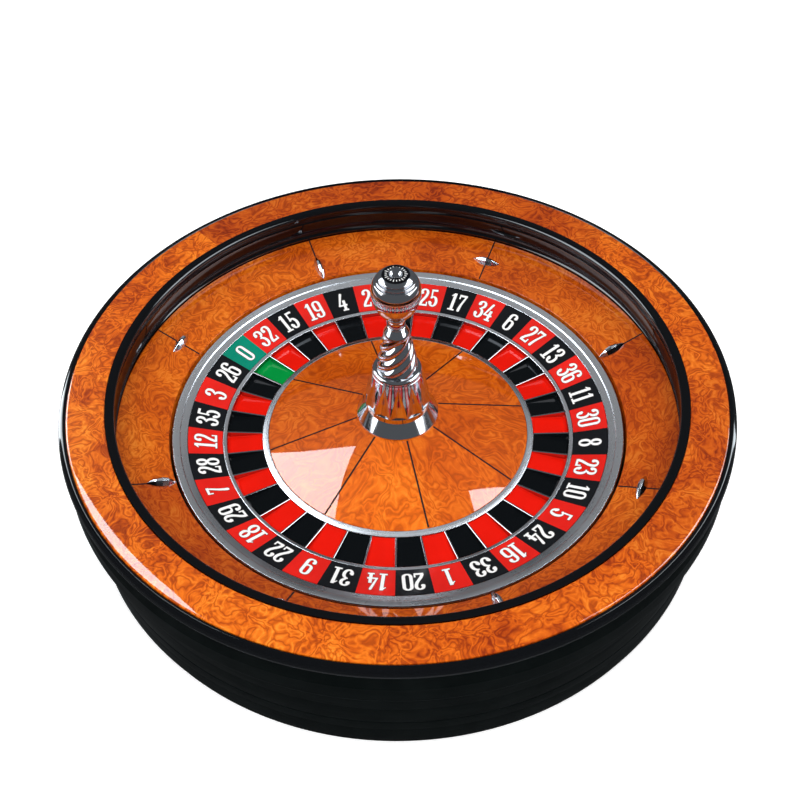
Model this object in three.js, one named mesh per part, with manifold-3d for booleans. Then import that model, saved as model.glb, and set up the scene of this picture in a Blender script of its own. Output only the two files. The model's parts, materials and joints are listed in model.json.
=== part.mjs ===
// Full-size casino roulette wheel: a black bowl with a veneered rim, a ball track and a wooden apron,
// and a rotor with 37 numbered pockets and a turned metal turret, spinning on two ball bearings.
// Millimetres, +Z up, origin at the centre of the felt ring that the bowl stands on.

import * as THREE from "three";
import { mergeVertices } from "three/addons/utils/BufferGeometryUtils.js";
import Module from "manifold-3d";

// ---------- driving dimensions ----------

const GAP = 0.3; // clearance between pieces that touch
const POCKETS = 37; // single-zero layout
const BOWL_FACETS = 40;
const TURRET_FACETS = 36;
const SMALL_FACETS = 20;
const BOLT_FACETS = 12;
const ZERO_ANGLE = 147.3; // where the zero pocket stands at rest, degrees from +X
const DEFLECTOR_ANGLE = 21; // first deflector, degrees from +X

// Bowl, radii and heights
const RIM_Z = 184; // top of the veneered rim
const EDGE_DROP = 0.4; // how far the veneer's outer edge is broken
const BEAD_R = 404.5;
const RIM_OUTER_R = 394.8;
const RIM_INNER_R = 349.6;
const VENEER_T = 18.3;
const SKIRT_R = 403;
const SKIRT_H = 60.6; // from the rim's top to the skirt's lower edge
const CORE_OUTER_R = 390;
const DRUM_TOP_R = 389.5;
const DRUM_BOTTOM_R = 387;
const DRUM_INNER_R = 366;
const DRUM_SEAMS = [RIM_Z - 100, RIM_Z - 145]; // the drum is a stack of three rings
const DRUM_GROOVE_Z = RIM_Z - 129;
const DRUM_CHAMFER = 1;
const BOARD_R = 382.5;
const BOARD_TOP_Z = 15.7;
const FELT_T = 2;
const FELT_OUTER_R = 376;
const FELT_INNER_R = 330;
const LIP_R = 338.4; // overhanging lip of the ball track
const TRACK_R = 346.3;
const APRON_OUTER_R = 344.4;
const APRON_OUTER_Z = RIM_Z - 48.1;
const APRON_INNER_R = 284;
const APRON_SLOPE = 20; // degrees
const APRON_T = 13;
const TRACK_LEDGE_R = 332;
const WELL_R = 286;
const WELL_T = 8;
const WELL_TOP_Z = RIM_Z - 94;

// Deflectors
const DEFLECTOR_COUNT = 8;
const DEFLECTOR_L = 38;
const DEFLECTOR_W = 13;
const DEFLECTOR_H = 8;
const DEFLECTOR_CROWN = 0.4; // crown size over foot size
const DEFLECTOR_RADIAL_R = 302;
const DEFLECTOR_TANGENT_R = 313;

// Rotor
const ROTOR_R = 281;
const ROTOR_EDGE_Z = RIM_Z - 71.6;
const BAND_OUTER_R = 262;
const BAND_OUTER_Z = RIM_Z - 77.2;
const BAND_INNER_R = 219.9;
const BAND_INNER_Z = RIM_Z - 88.1;
const SEPARATOR_W = 5;
const POCKET_INNER_R = 170.5;
const POCKET_INNER_Z = RIM_Z - 92.4;
const FLOOR_INNER_Z = RIM_Z - 95.4; // the pockets get deeper towards the frets' outer ends
const FLOOR_OUTER_Z = RIM_Z - 98.5;
const FRET_T = 2;
const FRET_SECTIONS = [5, 5, 4, 5, 5, 4, 5, 4]; // frets on each section of the separator ring
const CONE_OUTER_R = 162.6;
const CONE_OUTER_Z = RIM_Z - 90.5;
const CONE_TOP_R = 52;
const CONE_TOP_Z = RIM_Z - 58.4;
const CONE_BORE_R = 38;
const CONE_T = 7.6;
const CONE_FOOT_W = 12;
const DISC_TOP_Z = RIM_Z - 103;
const DISC_BOTTOM_Z = RIM_Z - 117;
const DISC_STEP_Z = RIM_Z - 94.5;
const DISC_R = 279;

// Hub, spindle and bearings (25 x 52 x 15 ball bearings)
const BEARING_BORE_R = 12.5;
const BEARING_OUTER_R = 26;
const BEARING_W = 15;
const RACE_SHOULDER = 4.4; // wall of a bearing ring beside the balls
const RACE_FLOOR = 2.4; // and under them
const BALL_R = 3.4;
const BALL_COUNT = 8;
const CAGE_R = 19.25; // pitch radius of the balls
const CAGE_W = 2;
const CAGE_H = 3;
const LOWER_BEARING_Z = 38;
const UPPER_BEARING_Z = 92;
const HOUSING_BOTTOM_Z = 33;
const HOUSING_TOP_Z = 112;
const HOUSING_R = 34;
const HOUSING_FLANGE_R = 64;
const HOUSING_FLANGE_T = 10;
const HOUSING_SHOULDER_R = 22;
const HUB_BOLT_CIRCLE_R = 49;
const HUB_BOLTS = 4;
const PLATE_R = 72;
const PLATE_T = 8;
const PLATE_BOLT_CIRCLE_R = 58;
const PLATE_BOLTS = 4;
const SPINDLE_FOOT_R = 24;
const SPINDLE_TOP_Z = 110.5;
const THREAD_R = 9;
const NUT_FLAT_R = 13;
const BOLT_R = 3;
const BOLT_HEAD_R = 5;
const BOLT_HEAD_H = 4;

// Turret
const ROD_R = 5;
const FLANGE_R = 50.5;
const FLANGE_TOP_Z = RIM_Z - 34.5;
const FLANGE_TOP_R = 38.8;
const BELL_R = 40.4;
const FLUTES = 12;
const FLUTE_DEPTH = 2.4;
const FLUTE_TIP_Z = RIM_Z + 7;
const FLUTE_TIP_R = 31.4;
const FLUTE_ANGLE = 5; // middle of the first flute, degrees from the zero pocket
const COLLAR_TOP_Z = RIM_Z + 20.5;
const COLUMN_R = 25;
const COLUMN_TOP_Z = RIM_Z + 74;
const COLUMN_TOP_R = 15.8;
const STRANDS = 6;
const STRAND_PITCH = 92; // rise of a strand in one turn
const STRAND_DEPTH = 2.6;
const STRAND_RUN_OUT = 10; // the strands fade over this height into the neck's dome
const NECK_TOP_Z = RIM_Z + 99;
const NECK_R = 9.6;
const KNOB_R = 29;
const KNOB_Z = RIM_Z + 136;
const BUTTON_R = 8;
const BUTTON_TOP_Z = RIM_Z + 171.5;

const DEG = Math.PI / 180;
const wasm = await Module();
wasm.setup();

// ---------- materials ----------

function finish(color, roughness, metalness) {
  return new THREE.MeshStandardMaterial({ color, roughness, metalness });
}

const burlVeneer = finish(0xd9660f, 0.12, 0);
const glossBlack = finish(0x08090a, 0.08, 0);
const satinBlack = finish(0x101314, 0.35, 0);
const bareBoard = finish(0xb08d62, 0.8, 0);
const greenFelt = finish(0x1f4a33, 0.95, 0);
const turnedAluminium = finish(0xb9bcc0, 0.28, 1);
const chrome = finish(0xd8dadd, 0.06, 1);
const steel = finish(0x8d9196, 0.35, 1);
const castAluminium = finish(0x9a9da0, 0.5, 1);
const numberRed = finish(0xe01410, 0.15, 0);
const pocketRed = finish(0xe01400, 0.12, 0);

// ---------- shape helpers ----------

// A closed surface with shared vertices and outward faces.
function closed(geometry) {
  geometry.deleteAttribute("normal");
  geometry.deleteAttribute("uv");
  const merged = mergeVertices(geometry, 1e-4);
  const index = merged.index.array;
  const point = (i) => new THREE.Vector3().fromBufferAttribute(merged.attributes.position, index[i]);
  let volume = 0;
  const kept = [];
  for (let i = 0; i < index.length; i += 3) {
    if (index[i] === index[i + 1] || index[i + 1] === index[i + 2] || index[i] === index[i + 2]) {
      continue;
    }
    volume += point(i).dot(point(i + 1).cross(point(i + 2)));
    kept.push(index[i], index[i + 1], index[i + 2]);
  }
  if (volume < 0) {
    kept.reverse();
  }
  merged.setIndex(kept);
  return merged;
}

// A body of revolution about Z. The first facet is centred on +X.
function turned(profile, facets) {
  const points = profile.map(([r, z]) => new THREE.Vector2(r, z));
  if (profile[0][0] > 0) {
    points.push(points[0].clone());
  }
  const start = Math.PI / 2 - Math.PI / facets;
  const lathe = new THREE.LatheGeometry(points, facets, start, 2 * Math.PI);
  lathe.rotateX(Math.PI / 2);
  return closed(lathe);
}

// A ring of rectangular section.
const ring = (inner, outer, low, high, facets) =>
  turned([[inner, low], [outer, low], [outer, high], [inner, high]], facets);

// A plain round bar standing on `low`.
const bar = (radius, low, high, facets) =>
  turned([[0, low], [radius, low], [radius, high], [0, high]], facets);

function toManifold(geometry) {
  const mesh = new wasm.Mesh({
    numProp: 3,
    vertProperties: new Float32Array(geometry.attributes.position.array),
    triVerts: new Uint32Array(geometry.index.array),
  });
  return new wasm.Manifold(mesh);
}

function fromManifold(solid) {
  const mesh = solid.getMesh();
  const geometry = new THREE.BufferGeometry();
  geometry.setAttribute("position", new THREE.BufferAttribute(mesh.vertProperties, 3));
  geometry.setIndex(new THREE.BufferAttribute(mesh.triVerts, 1));
  return geometry;
}

const joined = (shapes) => fromManifold(shapes.map(toManifold).reduce((a, b) => a.add(b)));
const cut = (shape, tools) =>
  fromManifold(tools.map(toManifold).reduce((a, b) => a.subtract(b), toManifold(shape)));

// Copies of a shape at equal angles around Z, at a given radius.
function around(count, radius, make) {
  const copies = [];
  for (let i = 0; i < count; i += 1) {
    const angle = (i * 2 * Math.PI) / count;
    copies.push(make().translate(radius, 0, 0).rotateZ(angle));
  }
  return copies;
}

// Moves the outer skin of a turned shape in and out, by an amount that depends on angle and height.
function carved(geometry, isSkin, offset) {
  const position = geometry.attributes.position;
  for (let i = 0; i < position.count; i += 1) {
    const x = position.getX(i);
    const y = position.getY(i);
    const z = position.getZ(i);
    const radius = Math.hypot(x, y);
    if (!isSkin(radius, z)) {
      continue;
    }
    const scale = (radius + offset(Math.atan2(y, x), z)) / radius;
    position.setXY(i, x * scale, y * scale);
  }
  return geometry;
}

function piece(name, geometry, material) {
  const mesh = new THREE.Mesh(geometry, material);
  mesh.name = name;
  return mesh;
}

// ---------- bowl ----------

function feltRing() {
  return ring(FELT_INNER_R, FELT_OUTER_R, 0, FELT_T, BOWL_FACETS);
}

function boltHoles(count, circle, low, high) {
  return around(count, circle, () => bar(BOLT_R + GAP, low, high, BOLT_FACETS));
}

function baseBoard() {
  const board = bar(BOARD_R, FELT_T + GAP, BOARD_TOP_Z, BOWL_FACETS);
  return cut(board, boltHoles(PLATE_BOLTS, PLATE_BOLT_CIRCLE_R, FELT_T + 2, BOARD_TOP_Z + 1));
}

// One ring of the stacked drum, with its lower edge broken and any grooves cut at the heights given.
function drumRing(outer, low, top, grooves = []) {
  const skin = [[outer - DRUM_CHAMFER, low], [outer, low + DRUM_CHAMFER]];
  for (const z of grooves) {
    skin.push([outer, z - DRUM_CHAMFER], [outer - DRUM_CHAMFER, z], [outer, z + DRUM_CHAMFER]);
  }
  return turned([[DRUM_INNER_R, low], ...skin, [outer, top], [DRUM_INNER_R, top]], BOWL_FACETS);
}

function wellWall() {
  return ring(WELL_R, WELL_R + WELL_T, BOARD_TOP_Z + GAP, WELL_TOP_Z, BOWL_FACETS);
}

function rimCore() {
  const low = RIM_Z - SKIRT_H;
  return ring(RIM_INNER_R + GAP, CORE_OUTER_R, low, RIM_Z - VENEER_T - GAP, BOWL_FACETS);
}

function rimSkirt() {
  const inner = CORE_OUTER_R + GAP + 0.1;
  const top = RIM_Z - VENEER_T - 2.5 * GAP;
  const bottom = RIM_Z - SKIRT_H;
  const profile = [
    [inner, top],
    [396, top],
    [397.5, top - 5],
    [402.3, top - 18],
    [SKIRT_R, bottom + 3],
    [SKIRT_R - 1.5, bottom],
    [inner, bottom],
  ];
  return turned(profile, BOWL_FACETS);
}

function rimEdgeBead() {
  const inner = RIM_OUTER_R;
  const bottom = RIM_Z - VENEER_T - GAP;
  const profile = [
    [inner, RIM_Z - EDGE_DROP],
    [399, RIM_Z + 0.2],
    [403.1, RIM_Z - 3],
    [BEAD_R, RIM_Z - 8.5],
    [403, RIM_Z - 14.5],
    [398.5, bottom],
    [inner, bottom],
  ];
  return turned(profile, BOWL_FACETS);
}

function rimVeneerRing() {
  const inner = RIM_INNER_R + GAP;
  const outer = RIM_OUTER_R - 1.5 * GAP;
  const low = RIM_Z - VENEER_T;
  const edge = [[outer, RIM_Z - EDGE_DROP], [outer - 5 * EDGE_DROP, RIM_Z]];
  return turned([[inner, low], [outer, low], ...edge, [inner, RIM_Z]], BOWL_FACETS);
}

// The track has a rounded lip that hangs over the ball, and a ledge that carries the apron.
function ballTrackRing() {
  const outer = RIM_INNER_R - GAP;
  const apronSeat = APRON_OUTER_R + 2 * GAP;
  const ledgeTop = APRON_OUTER_Z - APRON_T - GAP;
  const bottom = ledgeTop - 5;
  const profile = [
    [outer, bottom],
    [outer, RIM_Z + 1.2],
    [343, RIM_Z + 1.6],
    [339.6, RIM_Z - 0.6],
    [LIP_R, RIM_Z - 4.3],
    [340, RIM_Z - 8],
    [TRACK_R, RIM_Z - 11],
    [TRACK_R, APRON_OUTER_Z + 6],
    [apronSeat, APRON_OUTER_Z - 1],
    [apronSeat, ledgeTop],
    [TRACK_LEDGE_R, ledgeTop],
    [TRACK_LEDGE_R, bottom],
  ];
  return turned(profile, BOWL_FACETS);
}

const apronZ = (radius) => APRON_OUTER_Z - (APRON_OUTER_R - radius) * Math.tan(APRON_SLOPE * DEG);

function apronRing() {
  const bottom = APRON_OUTER_Z - APRON_T;
  const wellTop = WELL_TOP_Z + GAP;
  const profile = [
    [APRON_OUTER_R, APRON_OUTER_Z],
    [APRON_OUTER_R, bottom],
    [TRACK_LEDGE_R - 6, bottom],
    [WELL_R + WELL_T, wellTop],
    [APRON_INNER_R, wellTop],
    [APRON_INNER_R, apronZ(APRON_INNER_R)],
  ];
  return turned(profile, BOWL_FACETS);
}

// A long faceted stud, lying on the apron's slope; every other one is turned across the ball's path.
function deflector(index) {
  const lengthwise = index % 2 === 0;
  const radius = lengthwise ? DEFLECTOR_RADIAL_R : DEFLECTOR_TANGENT_R;
  const stud = new THREE.CylinderGeometry(DEFLECTOR_CROWN, 1, DEFLECTOR_H, 8);
  stud.rotateX(Math.PI / 2);
  stud.scale(DEFLECTOR_L / 2, DEFLECTOR_W / 2, 1);
  if (!lengthwise) {
    stud.rotateZ(Math.PI / 2);
  }
  const mesh = piece(`deflector_${index + 1}`, closed(stud), chrome);
  const slope = APRON_SLOPE * DEG;
  const lift = DEFLECTOR_H / 2 + GAP;
  // The facets of the apron lie inside its nominal radius by this much at mid-facet.
  const flat = radius * Math.cos(Math.PI / BOWL_FACETS);
  mesh.position.set(flat - lift * Math.sin(slope), 0, apronZ(radius) + lift * Math.cos(slope));
  mesh.rotation.y = -slope;
  const holder = new THREE.Group();
  holder.rotation.z = (index * 2 * Math.PI) / DEFLECTOR_COUNT;
  holder.add(mesh);
  return holder;
}

// ---------- spindle and bearings ----------

function spindlePlate() {
  const low = BOARD_TOP_Z + GAP;
  const plate = bar(PLATE_R, low, low + PLATE_T, SMALL_FACETS);
  return cut(plate, boltHoles(PLATE_BOLTS, PLATE_BOLT_CIRCLE_R, low - 1, low + PLATE_T + 1));
}

function spindle() {
  const low = BOARD_TOP_Z + PLATE_T + 2 * GAP;
  const seat = BEARING_BORE_R - 0.1;
  const nutSeat = UPPER_BEARING_Z + BEARING_W;
  const profile = [
    [0, low],
    [SPINDLE_FOOT_R, low],
    [SPINDLE_FOOT_R, low + 4],
    [BEARING_BORE_R + 3, low + 7],
    [BEARING_BORE_R + 3, LOWER_BEARING_Z - GAP],
    [seat, LOWER_BEARING_Z - GAP],
    [seat, nutSeat],
    [THREAD_R, nutSeat],
    [THREAD_R, SPINDLE_TOP_Z],
    [0, SPINDLE_TOP_Z],
  ];
  return turned(profile, SMALL_FACETS);
}

function spindleNut() {
  const low = UPPER_BEARING_Z + BEARING_W + GAP;
  const flatToCorner = 1 / Math.cos(Math.PI / 6);
  return ring((THREAD_R + GAP) * flatToCorner, NUT_FLAT_R * flatToCorner, low, SPINDLE_TOP_Z, 6);
}

function capScrew(low, headSeat) {
  const profile = [
    [0, low],
    [BOLT_R, low],
    [BOLT_R, headSeat + GAP],
    [BOLT_HEAD_R, headSeat + GAP],
    [BOLT_HEAD_R, headSeat + GAP + BOLT_HEAD_H],
    [0, headSeat + GAP + BOLT_HEAD_H],
  ];
  return turned(profile, BOLT_FACETS);
}

// A grooved bearing ring. `sign` is +1 for the inner ring and -1 for the outer ring.
function race(backR, sign, low) {
  const shoulder = backR + sign * RACE_SHOULDER;
  const groove = backR + sign * RACE_FLOOR;
  const profile = [
    [backR, low],
    [shoulder, low],
    [shoulder, low + BEARING_W * 0.2],
    [groove, low + BEARING_W / 2],
    [shoulder, low + BEARING_W * 0.8],
    [shoulder, low + BEARING_W],
    [backR, low + BEARING_W],
  ];
  return turned(profile, SMALL_FACETS);
}

// Balls held by their cage, which creeps round at its own speed between the two rings.
function ballCage(low) {
  const middle = low + BEARING_W / 2;
  const halfW = CAGE_W / 2;
  const halfH = CAGE_H / 2;
  const cage = ring(CAGE_R - halfW, CAGE_R + halfW, middle - halfH, middle + halfH, SMALL_FACETS);
  const ball = () => closed(new THREE.SphereGeometry(BALL_R, 8, 4)).translate(0, 0, middle);
  return joined([cage, ...around(BALL_COUNT, CAGE_R, ball)]);
}

function bearingHousing() {
  const flangeTop = DISC_BOTTOM_Z - GAP;
  const flangeLow = flangeTop - HOUSING_FLANGE_T;
  const seat = BEARING_OUTER_R + 0.2;
  const profile = [
    [seat, HOUSING_BOTTOM_Z],
    [HOUSING_R, HOUSING_BOTTOM_Z],
    [HOUSING_R, flangeLow],
    [HOUSING_FLANGE_R, flangeLow],
    [HOUSING_FLANGE_R, flangeTop],
    [HOUSING_R, flangeTop],
    [HOUSING_R, HOUSING_TOP_Z],
    [seat, HOUSING_TOP_Z],
    [seat, UPPER_BEARING_Z - GAP],
    [HOUSING_SHOULDER_R, UPPER_BEARING_Z - GAP],
    [HOUSING_SHOULDER_R, LOWER_BEARING_Z + BEARING_W + GAP],
    [seat, LOWER_BEARING_Z + BEARING_W + GAP],
  ];
  const housing = turned(profile, SMALL_FACETS);
  return cut(housing, boltHoles(HUB_BOLTS, HUB_BOLT_CIRCLE_R, flangeLow - 1, flangeTop + 1));
}

// ---------- rotor ----------

function rotorDisc() {
  const bore = HOUSING_R + 2 * GAP;
  const profile = [
    [bore, DISC_BOTTOM_Z],
    [DISC_R - 9, DISC_BOTTOM_Z],
    [DISC_R, DISC_BOTTOM_Z + 9],
    [DISC_R, DISC_STEP_Z],
    [BAND_INNER_R, DISC_STEP_Z],
    [BAND_INNER_R, DISC_TOP_Z],
    [bore, DISC_TOP_Z],
  ];
  const disc = turned(profile, POCKETS);
  return cut(disc, boltHoles(HUB_BOLTS, HUB_BOLT_CIRCLE_R, DISC_BOTTOM_Z - 1, DISC_TOP_Z + 1));
}

function numberRimRing() {
  const inner = BAND_OUTER_R + GAP;
  const step = (ROTOR_R + BAND_OUTER_R) / 2;
  const low = DISC_STEP_Z + GAP;
  const profile = [
    [inner, low],
    [ROTOR_R, low],
    [ROTOR_R, ROTOR_EDGE_Z - 1.5],
    [ROTOR_R - 1.5, ROTOR_EDGE_Z],
    [step, ROTOR_EDGE_Z - 2],
    [step - 1, ROTOR_EDGE_Z - 3.2],
    [inner, BAND_OUTER_Z],
  ];
  return turned(profile, POCKETS);
}

function numberBand() {
  const inner = BAND_INNER_R + GAP;
  const outer = BAND_OUTER_R - GAP;
  const low = DISC_STEP_Z + GAP;
  return turned([[inner, low], [outer, low], [outer, BAND_OUTER_Z], [inner, BAND_INNER_Z]], POCKETS);
}

// A section of the separator ring, from the middle of one pocket to the middle of another, with its frets.
function fretSection(first, count) {
  const pitch = (2 * Math.PI) / POCKETS;
  const inner = BAND_INNER_R - SEPARATOR_W;
  const low = DISC_TOP_Z + GAP;
  const at = (radius, angle) => new THREE.Vector2(radius * Math.cos(angle), radius * Math.sin(angle));
  const edge = (radius) => {
    const flat = radius * Math.cos(pitch / 2);
    const trim = GAP / 2 / flat;
    const corners = Array.from({ length: count }, (_, i) => at(radius, (first + i + 0.5) * pitch));
    return [at(flat, first * pitch + trim), ...corners, at(flat, (first + count) * pitch - trim)];
  };
  const outline = new THREE.Shape([...edge(BAND_INNER_R - GAP), ...edge(inner).reverse()]);
  const wall = new THREE.ExtrudeGeometry(outline, { depth: BAND_INNER_Z - low, bevelEnabled: false });
  const side = new THREE.Shape([
    new THREE.Vector2(POCKET_INNER_R + GAP, FLOOR_INNER_Z + GAP),
    new THREE.Vector2(inner + 1, FLOOR_OUTER_Z + GAP),
    new THREE.Vector2(inner + 1, BAND_INNER_Z - 1),
    new THREE.Vector2(POCKET_INNER_R + GAP, POCKET_INNER_Z),
  ]);
  const shapes = [closed(wall.translate(0, 0, low))];
  for (let i = 0; i < count; i += 1) {
    const fret = new THREE.ExtrudeGeometry(side, { depth: FRET_T, bevelEnabled: false });
    fret.translate(0, 0, -FRET_T / 2).rotateX(Math.PI / 2).rotateZ((first + i + 0.5) * pitch);
    shapes.push(closed(fret));
  }
  return joined(shapes);
}

function pocketFloor() {
  const outer = BAND_INNER_R - SEPARATOR_W - GAP;
  const inner = POCKET_INNER_R + GAP;
  const low = DISC_TOP_Z + GAP;
  return turned([[inner, low], [outer, low], [outer, FLOOR_OUTER_Z], [inner, FLOOR_INNER_Z]], POCKETS);
}

function pocketInnerRing() {
  const inner = CONE_OUTER_R + GAP;
  const low = DISC_TOP_Z + GAP;
  const skin = [[POCKET_INNER_R, low], [POCKET_INNER_R, POCKET_INNER_Z]];
  return turned([[inner, low], ...skin, [inner, CONE_OUTER_Z]], POCKETS);
}

function coneCover() {
  const low = DISC_TOP_Z + GAP;
  const footInner = CONE_OUTER_R - CONE_FOOT_W;
  const profile = [
    [CONE_OUTER_R, low],
    [CONE_OUTER_R, CONE_OUTER_Z],
    [CONE_TOP_R, CONE_TOP_Z],
    [CONE_BORE_R, CONE_TOP_Z],
    [CONE_BORE_R, CONE_TOP_Z - CONE_T],
    [CONE_TOP_R, CONE_TOP_Z - CONE_T],
    [footInner, CONE_OUTER_Z - 5],
    [footInner, low],
  ];
  return turned(profile, POCKETS);
}

// ---------- turret ----------

function hubCap() {
  const low = HOUSING_TOP_Z + GAP;
  return bar(HOUSING_R + 2, low, CONE_TOP_Z - 2 * GAP, SMALL_FACETS);
}

function turretRod() {
  return bar(ROD_R, CONE_TOP_Z - GAP, KNOB_Z - 15, BOLT_FACETS);
}

const rodBore = ROD_R + GAP;

function turretFlange() {
  const low = CONE_TOP_Z + GAP;
  const profile = [
    [rodBore, low],
    [FLANGE_R, low],
    [FLANGE_R, low + 1],
    [FLANGE_TOP_R, FLANGE_TOP_Z],
    [rodBore, FLANGE_TOP_Z],
  ];
  return turned(profile, SMALL_FACETS);
}

// A cone with pointed flutes that run out below a smooth collar.
function turretBell() {
  const low = FLANGE_TOP_Z + GAP;
  const profile = [
    [rodBore, low],
    [BELL_R - 1, low],
    [BELL_R, low + 2],
    [37.3, RIM_Z - 17.5],
    [34.6, RIM_Z - 7],
    [FLUTE_TIP_R, FLUTE_TIP_Z],
    [30.2, RIM_Z + 13.5],
    [28.8, COLLAR_TOP_Z - 1.5],
    [26.5, COLLAR_TOP_Z],
    [rodBore, COLLAR_TOP_Z],
  ];
  const fade = (z) => Math.max(0, (FLUTE_TIP_Z - z) / (FLUTE_TIP_Z - low));
  const wave = (angle) => (1 + Math.cos(FLUTES * (angle - FLUTE_ANGLE * DEG))) / 2;
  const offset = (angle, z) => -FLUTE_DEPTH * fade(z) * wave(angle);
  return carved(turned(profile, TURRET_FACETS), (r) => r > 2 * rodBore, offset);
}

// Six strands wind up the tapering column like a rope.
function turretColumn() {
  const low = COLLAR_TOP_Z + GAP;
  const levels = 10;
  const profile = [[rodBore, low]];
  for (let i = 0; i <= levels; i += 1) {
    const t = i / levels;
    profile.push([COLUMN_R + (COLUMN_TOP_R - COLUMN_R) * t, low + (COLUMN_TOP_Z - low) * t]);
  }
  profile.push([rodBore, COLUMN_TOP_Z]);
  const twist = (z) => (2 * Math.PI * (z - low)) / STRAND_PITCH;
  const fade = (z) => Math.min(1, (COLUMN_TOP_Z - z) / STRAND_RUN_OUT);
  const wave = (angle, z) => (1 - Math.cos(STRANDS * (angle - twist(z)))) / 2;
  const offset = (angle, z) => -STRAND_DEPTH * fade(z) * wave(angle, z);
  return carved(turned(profile, TURRET_FACETS), (r) => r > 2 * rodBore, offset);
}

// A smooth dome over the strands, drawn in to a slim neck.
function turretNeck() {
  const low = COLUMN_TOP_Z + GAP;
  const profile = [
    [rodBore, low],
    [COLUMN_TOP_R, low],
    [14.7, low + 5],
    [13.2, low + 9],
    [10.9, low + 13],
    [NECK_R, low + 17],
    [NECK_R, NECK_TOP_Z - 5],
    [NECK_R + 2, NECK_TOP_Z],
    [rodBore, NECK_TOP_Z],
  ];
  return turned(profile, SMALL_FACETS);
}

// A ball with a waistline ridge, tapering to the neck, bored from below for the rod.
function turretKnob() {
  const low = NECK_TOP_Z + GAP;
  const seat = BUTTON_TOP_Z - 8;
  const boreTop = KNOB_Z - 14;
  const profile = [
    [0, boreTop],
    [rodBore, boreTop],
    [rodBore, low],
    [NECK_R + 3, low],
    [18, low + 7],
    [25.5, KNOB_Z - 18],
    [28.2, KNOB_Z - 7],
    [KNOB_R, KNOB_Z],
    [28.2, KNOB_Z + 8],
    [25, KNOB_Z + 15],
    [19.5, KNOB_Z + 21.5],
    [BUTTON_R + 2, KNOB_Z + 28],
    [BUTTON_R + GAP, seat],
    [0, seat],
  ];
  return turned(profile, SMALL_FACETS);
}

function turretButton() {
  const low = BUTTON_TOP_Z - 8 + GAP;
  const crown = [[BUTTON_R, BUTTON_TOP_Z - 3], [BUTTON_R - 3, BUTTON_TOP_Z]];
  return turned([[0, low], [BUTTON_R, low], ...crown, [0, BUTTON_TOP_Z]], SMALL_FACETS);
}

// ---------- assembly ----------

const bowl = new THREE.Group();
bowl.rotation.z = DEFLECTOR_ANGLE * DEG;
bowl.add(piece("felt_ring", feltRing(), greenFelt));
bowl.add(piece("base_board", baseBoard(), bareBoard));
const drumTop = RIM_Z - SKIRT_H - GAP;
const drumBottom = BOARD_TOP_Z + GAP;
const [upperSeam, lowerSeam] = DRUM_SEAMS;
const drumMiddleR = (DRUM_TOP_R + DRUM_BOTTOM_R) / 2;
const upperDrum = drumRing(DRUM_TOP_R, upperSeam + GAP, drumTop);
const middleDrum = drumRing(drumMiddleR, lowerSeam + GAP, upperSeam, [DRUM_GROOVE_Z]);
const lowerDrum = drumRing(DRUM_BOTTOM_R, drumBottom, lowerSeam);
bowl.add(piece("upper_drum_ring", upperDrum, satinBlack));
bowl.add(piece("middle_drum_ring", middleDrum, satinBlack));
bowl.add(piece("lower_drum_ring", lowerDrum, satinBlack));
bowl.add(piece("well_wall", wellWall(), bareBoard));
bowl.add(piece("rim_core", rimCore(), bareBoard));
bowl.add(piece("rim_skirt", rimSkirt(), satinBlack));
bowl.add(piece("rim_edge_bead", rimEdgeBead(), glossBlack));
bowl.add(piece("rim_veneer_ring", rimVeneerRing(), burlVeneer));
bowl.add(piece("ball_track_ring", ballTrackRing(), glossBlack));
bowl.add(piece("apron_ring", apronRing(), burlVeneer));
for (let i = 0; i < DEFLECTOR_COUNT; i += 1) {
  bowl.add(deflector(i));
}

bowl.add(piece("spindle_plate", spindlePlate(), steel));
const plateTop = BOARD_TOP_Z + GAP + PLATE_T;
around(PLATE_BOLTS, PLATE_BOLT_CIRCLE_R, () => capScrew(FELT_T + 4, plateTop)).forEach((screw, i) => {
  bowl.add(piece(`plate_screw_${i + 1}`, screw, steel));
});
bowl.add(piece("spindle", spindle(), steel));
bowl.add(piece("spindle_nut", spindleNut(), steel));

const bearings = new THREE.Group();
const bearingPlaces = { lower: LOWER_BEARING_Z, upper: UPPER_BEARING_Z };
for (const [place, low] of Object.entries(bearingPlaces)) {
  bearings.add(piece(`${place}_inner_race`, race(BEARING_BORE_R + GAP, 1, low), steel));
  bearings.add(piece(`${place}_ball_cage`, ballCage(low), chrome));
  bearings.add(piece(`${place}_outer_race`, race(BEARING_OUTER_R - GAP, -1, low), steel));
}

const rotor = new THREE.Group();
rotor.rotation.z = ZERO_ANGLE * DEG;
rotor.add(piece("bearing_housing", bearingHousing(), castAluminium));
rotor.add(piece("rotor_disc", rotorDisc(), castAluminium));
around(HUB_BOLTS, HUB_BOLT_CIRCLE_R, () => capScrew(DISC_BOTTOM_Z - 8, DISC_TOP_Z)).forEach((screw, i) => {
  rotor.add(piece(`hub_screw_${i + 1}`, screw, steel));
});
rotor.add(piece("number_rim_ring", numberRimRing(), turnedAluminium));
rotor.add(piece("number_band", numberBand(), numberRed));
rotor.add(piece("pocket_floor", pocketFloor(), pocketRed));
FRET_SECTIONS.reduce((first, count, i) => {
  rotor.add(piece(`fret_section_${i + 1}`, fretSection(first, count), turnedAluminium));
  return first + count;
}, 0);
rotor.add(piece("pocket_inner_ring", pocketInnerRing(), turnedAluminium));
rotor.add(piece("cone_cover", coneCover(), burlVeneer));
rotor.add(piece("hub_cap", hubCap(), castAluminium));
rotor.add(piece("turret_rod", turretRod(), steel));
rotor.add(piece("turret_flange", turretFlange(), chrome));
rotor.add(piece("turret_bell", turretBell(), chrome));
rotor.add(piece("turret_column", turretColumn(), chrome));
rotor.add(piece("turret_neck", turretNeck(), chrome));
rotor.add(piece("turret_knob", turretKnob(), chrome));
rotor.add(piece("turret_button", turretButton(), chrome));

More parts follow.
